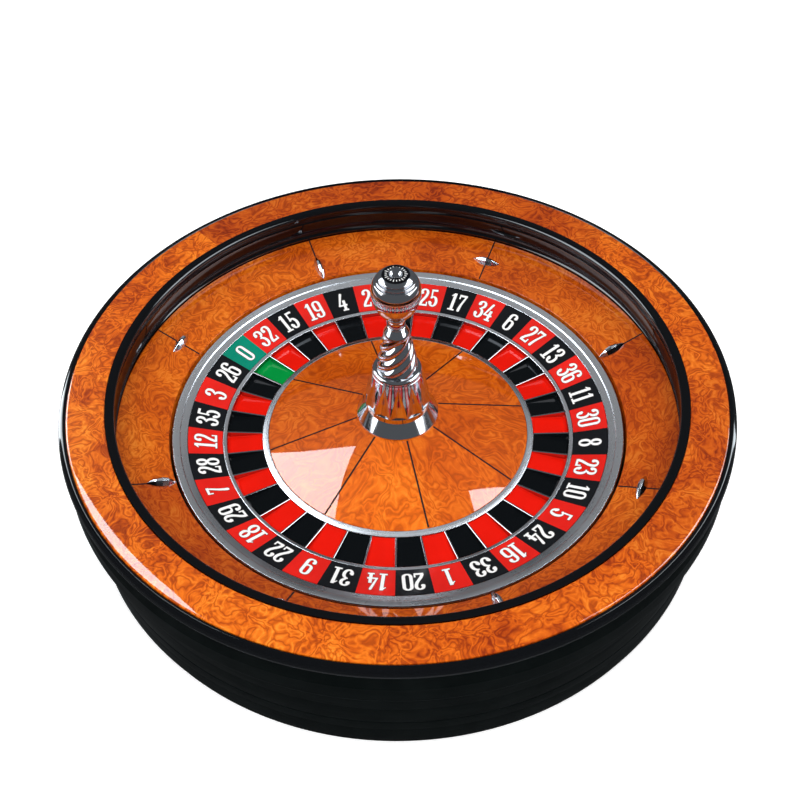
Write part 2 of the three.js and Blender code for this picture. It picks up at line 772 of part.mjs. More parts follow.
const wheel = new THREE.Group();
wheel.add(bowl, bearings, rotor);

export default wheel;
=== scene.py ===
import json
from math import atan2, cos, degrees, exp, hypot, pi, radians, sin, tan

import bmesh
import bpy
import numpy as np
from mathutils import Matrix, Vector
from mathutils.geometry import delaunay_2d_cdt

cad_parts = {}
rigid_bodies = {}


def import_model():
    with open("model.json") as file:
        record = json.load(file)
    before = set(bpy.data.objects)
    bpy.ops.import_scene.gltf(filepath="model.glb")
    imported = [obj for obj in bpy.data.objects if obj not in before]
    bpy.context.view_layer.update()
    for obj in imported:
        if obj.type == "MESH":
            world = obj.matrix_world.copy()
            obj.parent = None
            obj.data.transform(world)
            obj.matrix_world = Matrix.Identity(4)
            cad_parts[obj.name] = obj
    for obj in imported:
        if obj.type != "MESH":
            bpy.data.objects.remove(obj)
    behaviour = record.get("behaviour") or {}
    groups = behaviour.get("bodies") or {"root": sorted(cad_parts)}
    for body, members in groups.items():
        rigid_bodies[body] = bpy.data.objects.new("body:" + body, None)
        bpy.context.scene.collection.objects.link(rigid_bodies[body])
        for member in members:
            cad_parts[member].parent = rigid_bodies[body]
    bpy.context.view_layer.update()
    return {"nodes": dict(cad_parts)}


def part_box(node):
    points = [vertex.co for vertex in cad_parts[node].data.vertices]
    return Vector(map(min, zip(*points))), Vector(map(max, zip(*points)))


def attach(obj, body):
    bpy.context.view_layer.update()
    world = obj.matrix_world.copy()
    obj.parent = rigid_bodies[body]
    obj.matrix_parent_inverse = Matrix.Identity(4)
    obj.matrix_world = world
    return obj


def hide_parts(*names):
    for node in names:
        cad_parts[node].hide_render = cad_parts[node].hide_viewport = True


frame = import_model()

# A casino roulette wheel. Lengths are in metres, except in outlines that are scaled from millimetres.

MM = 0.001
TAU = 2 * pi
POCKETS = 37
POCKET_STEP = TAU / POCKETS
WHEEL_ORDER = [0, 32, 15, 19, 4, 21, 2, 25, 17, 34, 6, 27, 13, 36, 11, 30, 8, 23, 10,
               5, 24, 16, 33, 1, 20, 14, 31, 9, 22, 18, 29, 7, 28, 12, 35, 3, 26]
ZERO_ANGLE = radians(147.3)
APRON_INLAY_ANGLE = radians(21)
CONE_INLAY_ANGLE = radians(12.4)
RIM_SEAM_ANGLE = radians(43.5)
WEDGES = 8
WEDGE_STEP = TAU / WEDGES
BOWL_SEGMENTS = 288
ROTOR_SEGMENTS = POCKETS * 8
TURRET_SEGMENTS = 96
ON_AXIS = 1e-7  # a radius under this is on the axis


# ---------- mesh helpers ----------

def mesh_object(name, verts, faces, materials, smooth_angle=30):
    """A new object from vertices and faces, shaded smooth up to an angle in degrees."""
    mesh = bpy.data.meshes.new(name)
    mesh.from_pydata([tuple(v) for v in verts], [], [tuple(f) for f in faces])
    mesh.validate()
    for material in materials:
        mesh.materials.append(material)
    mesh.shade_smooth()
    mesh.set_sharp_from_angle(angle=radians(smooth_angle))
    obj = bpy.data.objects.new(name, mesh)
    bpy.context.scene.collection.objects.link(obj)
    return obj


def face_out(obj):
    """Makes every closed shell of the object's mesh face outwards."""
    bm = bmesh.new()
    bm.from_mesh(obj.data)
    bmesh.ops.recalc_face_normals(bm, faces=bm.faces)
    bm.to_mesh(obj.data)
    bm.free()
    return obj


def on_body(obj, body, nodes=()):
    """The piece rides on a body, and stands for the CAD nodes given."""
    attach(obj, body)
    if nodes:
        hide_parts(*nodes)
    return obj


def add_piece(name, shells, materials, body, nodes=(), smooth_angle=30):
    """A piece on a body, made of closed shells that are given as (verts, faces)."""
    obj = mesh_object(name, *joined_shells(shells), materials, smooth_angle)
    return on_body(face_out(obj), body, nodes)


def polar(radius, angle, z):
    return (radius * cos(angle), radius * sin(angle), z)


def beside(radius, side, angle, z):
    """The point that is out along the radial line at an angle, and then a distance to its side."""
    return polar(hypot(radius, side), angle + atan2(side, radius), z)


def rounded(profile, radius, steps=4):
    """The closed profile with each corner turned into an arc. Points on the axis stay sharp."""
    out = []
    count = len(profile)
    for i, corner in enumerate(profile):
        here = Vector(corner)
        before = Vector(profile[i - 1]) - here
        after = Vector(profile[(i + 1) % count]) - here
        turn = before.angle(after, pi)
        if here.x < ON_AXIS or turn > radians(176):
            out.append(here)
            continue
        reach = min(radius / tan(turn / 2), 0.45 * before.length, 0.45 * after.length)
        start = here + before.normalized() * reach
        end = here + after.normalized() * reach
        for k in range(steps + 1):
            t = k / steps
            out.append(start * (1 - t) ** 2 + here * 2 * t * (1 - t) + end * t ** 2)
    return [(p.x, p.y) for p in out]


def lathe(name, profile, segments, materials, first_angle=0.0, smooth_angle=30):
    """A solid of revolution about Z. The profile closes on itself, or starts and ends on the axis."""
    verts = []
    faces = []
    rows = []
    for radius, z in profile:
        if radius < ON_AXIS:
            rows.append([len(verts)])
            verts.append((0, 0, z))
            continue
        rows.append([len(verts) + k for k in range(segments)])
        verts.extend(polar(radius, first_angle + TAU * k / segments, z) for k in range(segments))
    for i, row in enumerate(rows):
        nxt = rows[(i + 1) % len(rows)]
        if len(row) == 1 and len(nxt) == 1:
            continue
        for k in range(segments):
            after = k + 1
            corners = (row[k % len(row)], row[after % len(row)], nxt[after % len(nxt)], nxt[k % len(nxt)])
            faces.append(list(dict.fromkeys(corners)))
    return face_out(mesh_object(name, verts, faces, materials, smooth_angle))


def cad_profile(node):
    """The (radius, z) outline of a turned CAD node, read from the mesh along one line of its facets."""
    mesh = frame["nodes"][node].data
    key = {}
    for v in mesh.vertices:
        radius = hypot(v.co.x, v.co.y)
        angle = round(degrees(atan2(v.co.y, v.co.x)) % 360, 2) if radius > ON_AXIS else None
        key[v.index] = (round(radius, 5), round(v.co.z, 5), angle)
    line = min(a for _, _, a in key.values() if a is not None)
    links = {}
    for edge in mesh.edges:
        a, b = (key[i] for i in edge.vertices)
        if all(k[2] in (None, line) for k in (a, b)) and a[:2] != b[:2]:
            links.setdefault(a[:2], set()).add(b[:2])
            links.setdefault(b[:2], set()).add(a[:2])
    ends = [p for p in links if p[0] < ON_AXIS]
    start = min(ends, key=lambda p: p[1]) if ends else min(links)
    path = [start]
    while True:
        options = [p for p in links[path[-1]] if p not in path]
        if ends:
            options = [p for p in options if p[0] > ON_AXIS or path[-1][0] > ON_AXIS]
        if not options:
            return path
        path.append(min(options, key=lambda p: (p[1], p[0])) if len(path) == 1 else options[0])


def arc_points(center, size, start, end, count):
    """Points on an ellipse arc, angles in degrees."""
    cx, cy = center
    rx, ry = size
    angles = [radians(start + (end - start) * k / (count - 1)) for k in range(count)]
    return [(cx + rx * cos(a), cy + ry * sin(a)) for a in angles]


def joined_shells(shells):
    """Several (verts, faces) lists as one."""
    verts = []
    faces = []
    for part_verts, part_faces in shells:
        base = len(verts)
        verts.extend(part_verts)
        faces.extend([base + i for i in face] for face in part_faces)
    return verts, faces


def ring_faces(rings, side, closed):
    """Faces between rings of equal length, and from the last ring to the first if closed."""
    faces = []
    for j in range(rings if closed else rings - 1):
        after = (j + 1) % rings
        for i in range(side):
            k = (i + 1) % side
            faces.append((j * side + i, j * side + k, after * side + k, after * side + i))
    return faces


def grid_shell(columns, rows, top, low):
    """A closed slab: top(u, v) over low(u, v), both for u and v from 0 to 1."""
    verts = []
    for surface in (top, low):
        verts.extend(surface(i / columns, j / rows) for j in range(rows + 1) for i in range(columns + 1))
    side = columns + 1
    layer = side * (rows + 1)
    faces = []
    for j in range(rows):
        for i in range(columns):
            a = j * side + i
            faces.append((a, a + 1, a + side + 1, a + side))
            faces.append((layer + a, layer + a + side, layer + a + side + 1, layer + a + 1))
    border = list(range(columns))
    border += [columns + j * side for j in range(rows)]
    border += [rows * side + i for i in range(columns, 0, -1)]
    border += [j * side for j in range(rows, 0, -1)]
    for a, b in zip(border, border[1:] + border[:1]):
        faces.append((b, a, layer + a, layer + b))
    return verts, faces


# ---------- materials ----------

class Nodes:
    """A short way to write a material's node graph."""

    def __init__(self, name):
        self.material = bpy.data.materials.new(name)
        self.material.use_nodes = True
        self.tree = self.material.node_tree
        self.shader = self.tree.nodes["Principled BSDF"]

    def add(self, kind, inputs=None, **settings):
        node = self.tree.nodes.new("ShaderNode" + kind)
        for key, value in settings.items():
            setattr(node, key, value)
        for key, value in (inputs or {}).items():
            self.plug(node.inputs[key], value)
        return node

    def plug(self, socket, value):
        if isinstance(value, bpy.types.NodeSocket):
            self.tree.links.new(value, socket)
        else:
            socket.default_value = value

    def set(self, **values):
        for key, value in values.items():
            self.plug(self.shader.inputs[key.replace("_", " ")], value)

    def place(self, stretch=None):
        """The place on the object, stretched along the axes if asked."""
        spot = self.add("TexCoord").outputs["Object"]
        if stretch is None:
            return spot
        return self.add("Mapping", {"Vector": spot, "Scale": stretch}).outputs[0]

    def noise(self, vector, scale, detail=4.0, roughness=0.55, distortion=0.0):
        inputs = {"Vector": vector, "Scale": scale, "Detail": detail, "Roughness": roughness,
                  "Distortion": distortion}
        return self.add("TexNoise", inputs).outputs["Fac"]

    def ramp(self, factor, stops):
        node = self.add("ValToRGB", {"Fac": factor})
        elements = node.color_ramp.elements
        while len(elements) < len(stops):
            elements.new(0.5)
        for element, (place, color) in zip(elements, stops):
            element.position = place
            element.color = (*color, 1)
        return node.outputs["Color"]

    def greys(self, factor, *stops):
        return self.ramp(factor, [(place, grey(value)) for place, value in stops])

    def math(self, operation, a, b=0.0):
        node = self.add("Math", operation=operation)
        self.plug(node.inputs[0], a)
        self.plug(node.inputs[1], b)
        return node.outputs[0]

    def mix(self, factor, a, b, blend="MIX"):
        return self.add("Mix", {0: factor, 6: a, 7: b}, data_type="RGBA", blend_type=blend).outputs[2]

    def bump(self, height, strength, distance):
        inputs = {"Height": height, "Strength": strength, "Distance": distance}
        return self.add("Bump", inputs).outputs["Normal"]


def grey(value):
    return (value, value, value)


BURL_COLORS = [(0.36, (0.30, 0.030, 0.0006)), (0.48, (0.50, 0.072, 0.0014)), (0.57, (0.64, 0.112, 0.0025)),
               (0.66, (0.77, 0.165, 0.006)), (0.78, (0.90, 0.28, 0.022))]
BURL_MEAN = (0.62, 0.105, 0.0025, 1)


def burl_veneer(name, softness):
    """Orange-stained burl under clear gloss lacquer. A higher softness gives a fainter figure."""
    n = Nodes(name)
    grain = n.add("UVMap", uv_map="grain").outputs["UV"]
    warp = n.add("TexNoise", {"Vector": grain, "Scale": 16.0, "Detail": 3.0}).outputs["Color"]
    bent = n.add("Mix", {0: 0.05, 4: grain, 5: warp}, data_type="VECTOR").outputs[1]
    cloud = n.noise(bent, 15.0, 3.0)
    eyes = n.noise(bent, 40.0, 2.5, 0.5, 1.1)
    bands = n.math("PINGPONG", n.math("MULTIPLY", eyes, 6.0), 0.5)
    curl = n.noise(bent, 105.0, 5.0, 0.6, 1.8)
    mixed = n.math("ADD", n.math("MULTIPLY", cloud, 0.60), n.math("MULTIPLY", bands, 0.46))
    mixed = n.math("ADD", mixed, n.math("MULTIPLY", curl, 0.30))
    color = n.ramp(mixed, BURL_COLORS)
    vein = n.greys(bands, (0.0, 0.50), (0.18, 1.0))
    color = n.mix(0.45, color, vein, "MULTIPLY")
    color = n.mix(softness, color, BURL_MEAN)
    # Each wedge's brightness multiplies the colour: the veneer's tone together with painted light and shade.
    shade = n.add("Attribute", attribute_name="shade").outputs["Color"]
    color = n.mix(1.0, color, shade, "MULTIPLY")
    # The coat is weaker where it is seen edge-on, so that low views keep the veneer's colour.
    edge_on = n.add("LayerWeight", {"Blend": 0.5}).outputs["Facing"]
    shine = n.greys(edge_on, (0.45, 1.0), (0.6, 0.32), (0.75, 0.05), (0.9, 0.02))
    n.set(Base_Color=color, Roughness=0.5, Specular_IOR_Level=0.03, Coat_Weight=shine, Coat_Roughness=0.02,
          Coat_IOR=1.5)
    return n.material


def gloss_black():
    n = Nodes("gloss_black")
    place = n.place()
    ripple = n.noise(place, 55.0, 2.0)
    smear = n.greys(n.noise(place, 9.0, 5.0), (0.35, 0.05), (0.7, 0.11))
    n.set(Base_Color=(0.0025, 0.003, 0.004, 1), Roughness=smear, Specular_IOR_Level=0.33,
          Normal=n.bump(ripple, 0.05, 0.0006))
    return n.material


def satin_black():
    n = Nodes("satin_black")
    place = n.place()
    wear = n.greys(n.noise(n.place((1.0, 1.0, 9.0)), 12.0, 6.0), (0.3, 0.30), (0.75, 0.46))
    color = n.ramp(n.noise(place, 30.0, 4.0), [(0.3, (0.0015, 0.003, 0.003)), (0.8, (0.004, 0.006, 0.006))])
    peel = n.noise(place, 700.0, 2.0)
    n.set(Base_Color=color, Roughness=wear, Specular_IOR_Level=0.08, Normal=n.bump(peel, 0.10, 0.0003))
    return n.material


def turned_metal(name, tint, rough, groove, anisotropy):
    """Metal from the lathe, with fine rings round the axis."""
    n = Nodes(name)
    place = n.place()
    apart = n.add("SeparateXYZ", {"Vector": place})
    square = n.math("ADD", n.math("MULTIPLY", apart.outputs[0], apart.outputs[0]),
                    n.math("MULTIPLY", apart.outputs[1], apart.outputs[1]))
    radius = n.math("SQRT", square)
    ringed = n.add("CombineXYZ", {"X": radius, "Y": 0.0, "Z": 0.0}).outputs[0]
    rings = n.noise(ringed, 1500.0, 3.0, 0.7)
    broad = n.noise(ringed, 240.0, 3.0)
    cloud = n.noise(place, 16.0, 5.0)
    color = n.mix(broad, (*[c * 0.82 for c in tint], 1), (*tint, 1))
    roughness = n.greys(n.math("ADD", n.math("MULTIPLY", cloud, 0.6), n.math("MULTIPLY", broad, 0.4)),
                        (0.3, rough * 0.75), (0.7, rough * 1.25))
    n.set(Base_Color=color, Metallic=1.0, Roughness=roughness, Anisotropic=anisotropy,
          Normal=n.bump(rings, 0.25, groove),
          Tangent=n.add("Tangent", direction_type="RADIAL", axis="Z").outputs[0])
    return n.material


def chrome(name):
    n = Nodes(name)
    haze = n.greys(n.noise(n.place(), 60.0, 4.0), (0.35, 0.07), (0.75, 0.13))
    n.set(Base_Color=(0.56, 0.58, 0.62, 1), Metallic=1.0, Roughness=haze)
    return n.material


def lacquer(name, color, spread=0.82, rough=0.16, gloss=0.22):
    """Gloss paint with a little unevenness and fine hairline wear."""
    n = Nodes(name)
    place = n.place()
    cloud = n.noise(place, 24.0, 4.0)
    deep = tuple(c * spread for c in color)
    base = n.ramp(cloud, [(0.3, deep), (0.7, color)])
    hair = n.noise(n.place((1.0, 0.2, 1.0)), 420.0, 5.0, 0.7)
    n.set(Base_Color=base, Roughness=n.greys(hair, (0.4, rough * 0.8), (0.7, rough * 1.5)),
          Specular_IOR_Level=gloss, Coat_Weight=gloss, Coat_Roughness=0.04,
          Normal=n.bump(n.noise(place, 260.0, 2.0), 0.04, 0.0003))
    return n.material


def machined_steel():
    n = Nodes("machined_steel")
    cuts = n.noise(n.place((1.0, 1.0, 12.0)), 160.0, 4.0)
    n.set(Base_Color=n.greys(cuts, (0.3, 0.36), (0.7, 0.52)), Metallic=1.0,
          Roughness=n.greys(cuts, (0.3, 0.28), (0.7, 0.42)))
    return n.material


def bare_board():
    n = Nodes("bare_board")
    fibre = n.noise(n.place((1.0, 6.0, 6.0)), 120.0, 6.0)
    color = n.ramp(fibre, [(0.3, (0.30, 0.20, 0.11)), (0.7, (0.46, 0.33, 0.20))])
    n.set(Base_Color=color, Roughness=0.8, Normal=n.bump(fibre, 0.3, 0.0004))
    return n.material


def felt():
    n = Nodes("green_felt")
    fuzz = n.noise(n.place(), 1800.0, 4.0)
    color = n.ramp(fuzz, [(0.3, (0.010, 0.045, 0.025)), (0.7, (0.030, 0.095, 0.055))])
    n.set(Base_Color=color, Roughness=0.95, Sheen_Weight=0.4, Normal=n.bump(fuzz, 0.8, 0.0005))
    return n.material


RIM_BURL = burl_veneer("rim_burl", 0.05)
APRON_BURL = burl_veneer("apron_burl", 0.25)
CONE_BURL = burl_veneer("cone_burl", 0.42)
GLOSS_BLACK = gloss_black()
SATIN_BLACK = satin_black()
ALUMINIUM = turned_metal("turned_aluminium", (0.50, 0.51, 0.535), 0.27, 0.00012, 0.55)
CHROME = chrome("chrome")
STUD_CHROME = chrome("stud_chrome")
STEEL = machined_steel()
BOARD = bare_board()
FELT = felt()
RED = lacquer("number_red", (0.80, 0.016, 0.010))
BLACK = lacquer("number_black", (0.008, 0.009, 0.011))
GREEN = lacquer("number_green", (0.0, 0.26, 0.165))
PAD_RED = lacquer("pocket_red", (0.76, 0.008, 0.002), 0.9, 0.10, 0.1)
PAD_BLACK = lacquer("pocket_black", (0.003, 0.004, 0.005), 0.9, 0.10, 0.1)
PAD_GREEN = lacquer("pocket_green", (0.0, 0.27, 0.045), 0.9, 0.10, 0.1)
WHITE = lacquer("numeral_white", (0.95, 0.95, 0.94), 0.97)
OUTLINE = lacquer("numeral_outline", (0.025, 0.018, 0.016), 0.9)
NUMBER_PAINTS = [RED, BLACK, GREEN]
PAD_PAINTS = [PAD_RED, PAD_BLACK, PAD_GREEN]


# ---------- camera, lights and floor ----------

RIM_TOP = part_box("rim_veneer_ring")[1][2]
CAMERA_TILT = radians(46.638)
CAMERA_ROLL = radians(-0.657)
CAMERA_DISTANCE = 1.4516
CAMERA_SLIDE = (0.0031, -0.0272)
CAMERA_LENS = 54.06
SOFTBOX_SIZE = (1.0, 0.73)
SOFTBOX_POWER = 31.0
SOFTBOX_COLOR = (0.86, 0.94, 1.0)
SOFTBOX_LEFT = ((-0.430, 0.280, 0.835), (-0.634, 0.419, -0.650), (0.279, -0.674, -0.684))
SOFTBOX_RIGHT = ((0.682, 0.160, 1.071), (0.634, 0.470, -0.610), (-0.500, -0.610, -0.620))
# Direction from the turret, distance, size and power.
SIDE_LIGHTS = {"side_left": ((-0.90, 0.01, 0.35), 1.2, (1.25, 0.95), 15.0),
               "side_right": ((0.87, -0.12, 0.39), 1.2, (1.25, 0.95), 15.0)}
RING_LIGHT = ((0.0, 0.35, 0.9), 1.6, (2.6, 2.2), 7.0)
# Place, direction, size and power.
FILLS = {"front_fill": ((0.0, -1.9, 1.9), (0, 1, -0.9), (2.2, 1.2), 36.0),
         "top_fill": ((0.0, 0.4, 3.0), (0, -0.1, -1), (4.0, 4.0), 99.0)}
WORLD_COLOR = (0.90, 0.95, 1.0, 1)
WORLD_STRENGTH = 0.13
FLOOR_REACH = 12.0
BACKDROP_RADIUS = 11.0
BACKDROP_HEIGHT = 9.0


def placed(name, data, spot, x_axis, back):
    """A camera or light at a spot. It looks away from back, with its own X axis as given."""
    obj = bpy.data.objects.new(name, data)
    turn = Matrix((x_axis, back.cross(x_axis), back)).transposed().to_4x4()
    obj.matrix_world = Matrix.Translation(spot) @ turn
    bpy.context.scene.collection.objects.link(obj)
    return obj


def place_camera():
    back = Vector((0, -cos(CAMERA_TILT), sin(CAMERA_TILT)))
    right = Vector((1, 0, 0))
    up = back.cross(right)
    middle = Vector((0, 0, RIM_TOP))
    spot = middle + back * CAMERA_DISTANCE + right * CAMERA_SLIDE[0] + up * CAMERA_SLIDE[1]
    data = bpy.data.cameras.new("camera")
    data.lens = CAMERA_LENS
    data.sensor_width = 36
    rolled = right * cos(CAMERA_ROLL) + up * sin(CAMERA_ROLL)
    bpy.context.scene.camera = placed("camera", data, spot, rolled, back)


def area_light(name, middle, facing, size, power, along, color=(1, 1, 1)):
    data = bpy.data.lights.new(name, "AREA")
    data.shape = "RECTANGLE"
    data.size, data.size_y = size
    data.energy = power
    data.color = color
    back = -Vector(facing).normalized()
    x_axis = Vector(along) - back * back.dot(Vector(along))
    light = placed(name, data, Vector(middle), x_axis.normalized(), back)
    light.visible_camera = False
    return light


def softbox(name, corner, edge_a, edge_b):
    """A rectangular softbox, given by one corner over the rim and the directions of its two edges."""
    edge_a = Vector(edge_a).normalized()
    edge_b = Vector(edge_b).normalized()
    middle = Vector(corner) + Vector((0, 0, RIM_TOP))
    middle += edge_a * (SOFTBOX_SIZE[0] / 2) + edge_b * (SOFTBOX_SIZE[1] / 2)
    facing = edge_a.cross(edge_b)
    if facing.dot(middle) > 0:
        facing = -facing
    light = area_light(name, middle, facing, SOFTBOX_SIZE, SOFTBOX_POWER, edge_a, SOFTBOX_COLOR)
    light.visible_diffuse = False
    return light


def side_light(name, way, distance, size, power):
    """A softbox for bare metal, facing the turret from the direction given."""
    way = Vector(way).normalized()
    middle = way * distance + Vector((0, 0, RIM_TOP + 80 * MM))
    light = area_light(name, middle, -way, size, power, along=(-way.y, way.x, 0))
    light.visible_diffuse = False
    return light


def fill_light(name, middle, facing, size, power):
    """Soft light that gives shape but leaves no reflection in the lacquer."""
    light = area_light(name, middle, facing, size, power, along=(1, 0, 0))
    light.visible_glossy = False


def only_for(light, materials, among):
    """The light reaches the pieces that have one of the materials, if among, or else all the others."""
    group = bpy.data.collections.new(light.name)
    for obj in bpy.context.scene.objects:
        if obj.type == "MESH" and any(m in materials for m in obj.data.materials) == among:
            group.objects.link(obj)
    light.light_linking.receiver_collection = group


def light_the_scene():
    spared = [CHROME, *NUMBER_PAINTS, *PAD_PAINTS, WHITE, OUTLINE]
    for name, place in (("softbox_left", SOFTBOX_LEFT), ("softbox_right", SOFTBOX_RIGHT)):
        only_for(softbox(name, *place), spared, False)
    for name, setting in SIDE_LIGHTS.items():
        only_for(side_light(name, *setting), [CHROME], True)
    only_for(side_light("ring_light", *RING_LIGHT), [ALUMINIUM, STUD_CHROME], True)
    for name, setting in FILLS.items():
        fill_light(name, *setting)
    world = bpy.data.worlds.new("studio")
    world.use_nodes = True
    background = world.node_tree.nodes["Background"]
    background.inputs["Color"].default_value = WORLD_COLOR
    background.inputs["Strength"].default_value = WORLD_STRENGTH
    bpy.context.scene.world = world
    bpy.context.scene.view_settings.view_transform = "Standard"


def floor():
    n = Nodes("floor")
    speck = n.noise(n.place(), 40.0, 3.0)
    n.set(Base_Color=n.greys(speck, (0.3, 0.93), (0.7, 0.96)), Roughness=0.9, Specular_IOR_Level=0.1,
          Emission_Color=(1, 1, 1, 1), Emission_Strength=0.5)
    corners = [(x * FLOOR_REACH, y * FLOOR_REACH, 0) for x, y in ((-1, -1), (1, -1), (1, 1), (-1, 1))]
    ground = mesh_object("floor", corners, [(0, 1, 2, 3)], [n.material])
    ground.visible_glossy = False


def backdrop():
    """A pale wall far round the wheel, which lights nothing and shows in no reflection."""
    n = Nodes("backdrop")
    shade = n.greys(n.noise(n.place(), 2.0, 3.0), (0.3, 0.86), (0.7, 0.90))
    n.set(Base_Color=(0, 0, 0, 1), Roughness=1.0, Specular_IOR_Level=0.0, Emission_Color=shade,
          Emission_Strength=1.0)
    sides = 48
    verts = [polar(BACKDROP_RADIUS, TAU * k / sides, z) for z in (0, BACKDROP_HEIGHT) for k in range(sides)]
    wall = mesh_object("backdrop", verts, ring_faces(2, sides, False), [n.material])
    wall.visible_glossy = False
    wall.visible_diffuse = False
    wall.visible_shadow = False


# ---------- veneer ----------

def veneer_maps(obj, first_angle, tones_and_painted_light):
    """Gives a ring its grain map, flat within each wedge and mirrored from wedge to wedge, and a brightness
    for each wedge, which holds the veneer's tone together with painted light and shade.
    """
    mesh = obj.data
    mesh.uv_layers.new(name="grain")
    mesh.color_attributes.new(name="shade", type="FLOAT_COLOR", domain="CORNER")
    grain = mesh.uv_layers["grain"]
    shade = mesh.color_attributes["shade"]
    for face in mesh.polygons:
        middle = (atan2(face.center.y, face.center.x) - first_angle) % TAU
        wedge = int(middle / WEDGE_STEP)
        turn = -(first_angle + (wedge + 0.5) * WEDGE_STEP)
        mirror = 1 if wedge % 2 == 0 else -1
        for i in face.loop_indices:
            spot = mesh.vertices[mesh.loops[i].vertex_index].co
            along = spot.x * cos(turn) - spot.y * sin(turn)
            across = spot.x * sin(turn) + spot.y * cos(turn)
            grain.data[i].uv = (mirror * across + 1.7 * wedge, along + spot.z)
            shade.data[i].color = (*tones_and_painted_light[wedge], 1)


def strip(angle, width, line, depth, rows):
    """A thin slab at an angle, along line(v), a (radius, z) point. Its top is a hair above the line."""
    def layer(lift):
        def surface(u, v):
            radius, z = line(v)
            return beside(radius, (u - 0.5) * width, angle, z + lift)

        return surface

    proud = 0.12 * MM
    return grid_shell(1, rows, layer(proud), layer(proud - depth))


def radial_inlays(name, first_angle, inner, outer, surface, width, body):
    """Thin black strips let into a cone."""
    def line(v):
        radius = inner + (outer - inner) * v
        return radius, surface(radius)

    strips = [strip(first_angle + k * WEDGE_STEP, width, line, 0.72 * MM, 12) for k in range(WEDGES)]
    add_piece(name, strips, [OUTLINE], body)


# ---------- bowl ----------

def warm(value, redness=0.0):
    """A wedge's brightness, which holds the tone of its veneer together with painted light and shade, and how
    far it leans to red.
    """
    return (value, value * (1 - redness), value * (1 - 1.5 * redness))


# Each wedge's brightness is partly the tone of its leaf of veneer and partly painted light and shade, as the
# light falls on each slope: the far wedges of the rim and the near wedges of the apron are painted darker,
# and the near wedges of the cone are painted lighter.
RIM_TONE_AND_PAINTED_LIGHT = [warm(0.80, 0.16), warm(0.74, 0.20), warm(1.05), warm(1.02), warm(1.08), warm(1.0, 0.06),
              warm(0.84, 0.14), warm(0.98, 0.05)]
APRON_TONE_AND_PAINTED_LIGHT = [warm(0.86, 0.08), warm(0.92, 0.06), warm(0.98), warm(0.95), warm(0.72, 0.2), warm(0.85, 0.12),
                warm(0.9, 0.08), warm(0.78, 0.16)]
CONE_TONE_AND_PAINTED_LIGHT = [warm(1.0, 0.04), warm(0.94, 0.06), warm(0.88, 0.08), warm(0.95, 0.06), warm(1.08), warm(1.22),
               warm(1.1, 0.04), warm(1.0, 0.06)]


def turned_copy(node, piece, segments, materials, body, corner, first_angle=0.0):
    """A smooth, round-cornered version of a turned CAD node."""
    profile = rounded(cad_profile(node), corner)
    obj = lathe(piece, profile, segments, materials, first_angle)
    return on_body(obj, body, [node])


def bowl_copy(node, piece, material, corner, first_angle=0.0):
    return turned_copy(node, piece, BOWL_SEGMENTS, [material], "bowl", corner, first_angle)


def rotor_copy(node, piece, corner):
    turned_copy(node, piece, ROTOR_SEGMENTS, [ALUMINIUM], "rotor", corner)


def slope_of(node, inner, outer):
    """The height of a CAD cone between two radii of its profile, as a function of the radius."""
    profile = cad_profile(node)
    high = {}
    for radius, z in profile:
        high[radius] = max(z, high.get(radius, -1))
    low_r = min(high, key=lambda r: abs(r - inner))
    high_r = min(high, key=lambda r: abs(r - outer))
    rise = (high[high_r] - high[low_r]) / (high_r - low_r)
    return lambda radius: high[low_r] + (radius - low_r) * rise


def radii(node):
    """The inner and outer radius of a turned CAD node."""
    reaches = [p[0] for p in cad_profile(node)]
    return min(reaches), max(reaches)


def make_rim():
    rim = bowl_copy("rim_veneer_ring", "rim_veneer", RIM_BURL, 1.0 * MM, RIM_SEAM_ANGLE)
    veneer_maps(rim, RIM_SEAM_ANGLE, RIM_TONE_AND_PAINTED_LIGHT)
    bowl_copy("rim_edge_bead", "edge_bead", GLOSS_BLACK, 4 * MM)
    bowl_copy("rim_skirt", "skirt", SATIN_BLACK, 3 * MM)
    for place in ("upper", "middle", "lower"):
        bowl_copy(f"{place}_drum_ring", f"{place}_drum", SATIN_BLACK, 0.4 * MM)


def make_base():
    bowl_copy("felt_ring", "felt", FELT, 0.4 * MM)
    low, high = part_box("base_board")
    edge = [(0, low[2]), (high[0], low[2]), (high[0], high[2]), (0, high[2])]
    board = lathe("board", rounded(edge, 1.0 * MM), BOWL_SEGMENTS, [SATIN_BLACK])
    on_body(board, "bowl", ["base_board"])


def make_ball_track():
    """The lip overhangs a hollow, and the track below it curves down to the apron."""
    profile = cad_profile("ball_track_ring")
    lip = min(p[0] for p in profile if p[1] > RIM_TOP - 10 * MM)
    outer = max(p[0] for p in profile)
    wall = max(p[0] for p in profile if p[0] < outer - 1 * MM)
    bottom = min(p[1] for p in profile)
    ledge = min(p[0] for p in profile)
    ledge_top = sorted({p[1] for p in profile})[1]
    apron_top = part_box("apron_ring")[1][2]
    seat = radii("apron_ring")[1] + 0.5 * MM
    nose = (lip + 4.2 * MM, RIM_TOP - 3.2 * MM)
    points = [(outer, bottom), (outer, RIM_TOP + 1.2 * MM)]
    points += arc_points(nose, (4.2 * MM, 4.4 * MM), 90, 260, 14)
    points += arc_points((wall - 1.6 * MM, RIM_TOP - 14 * MM), (1.6 * MM, 5 * MM), 75, 0, 6)
    points += arc_points((wall - 6 * MM, RIM_TOP - 30 * MM), (6.2 * MM, 15 * MM), 50, -62, 12)
    points += [(seat, apron_top + 1.5 * MM), (seat, ledge_top), (ledge, ledge_top), (ledge, bottom)]
    track = lathe("ball_track", points, BOWL_SEGMENTS, [GLOSS_BLACK], smooth_angle=40)
    on_body(track, "bowl", ["ball_track_ring"])


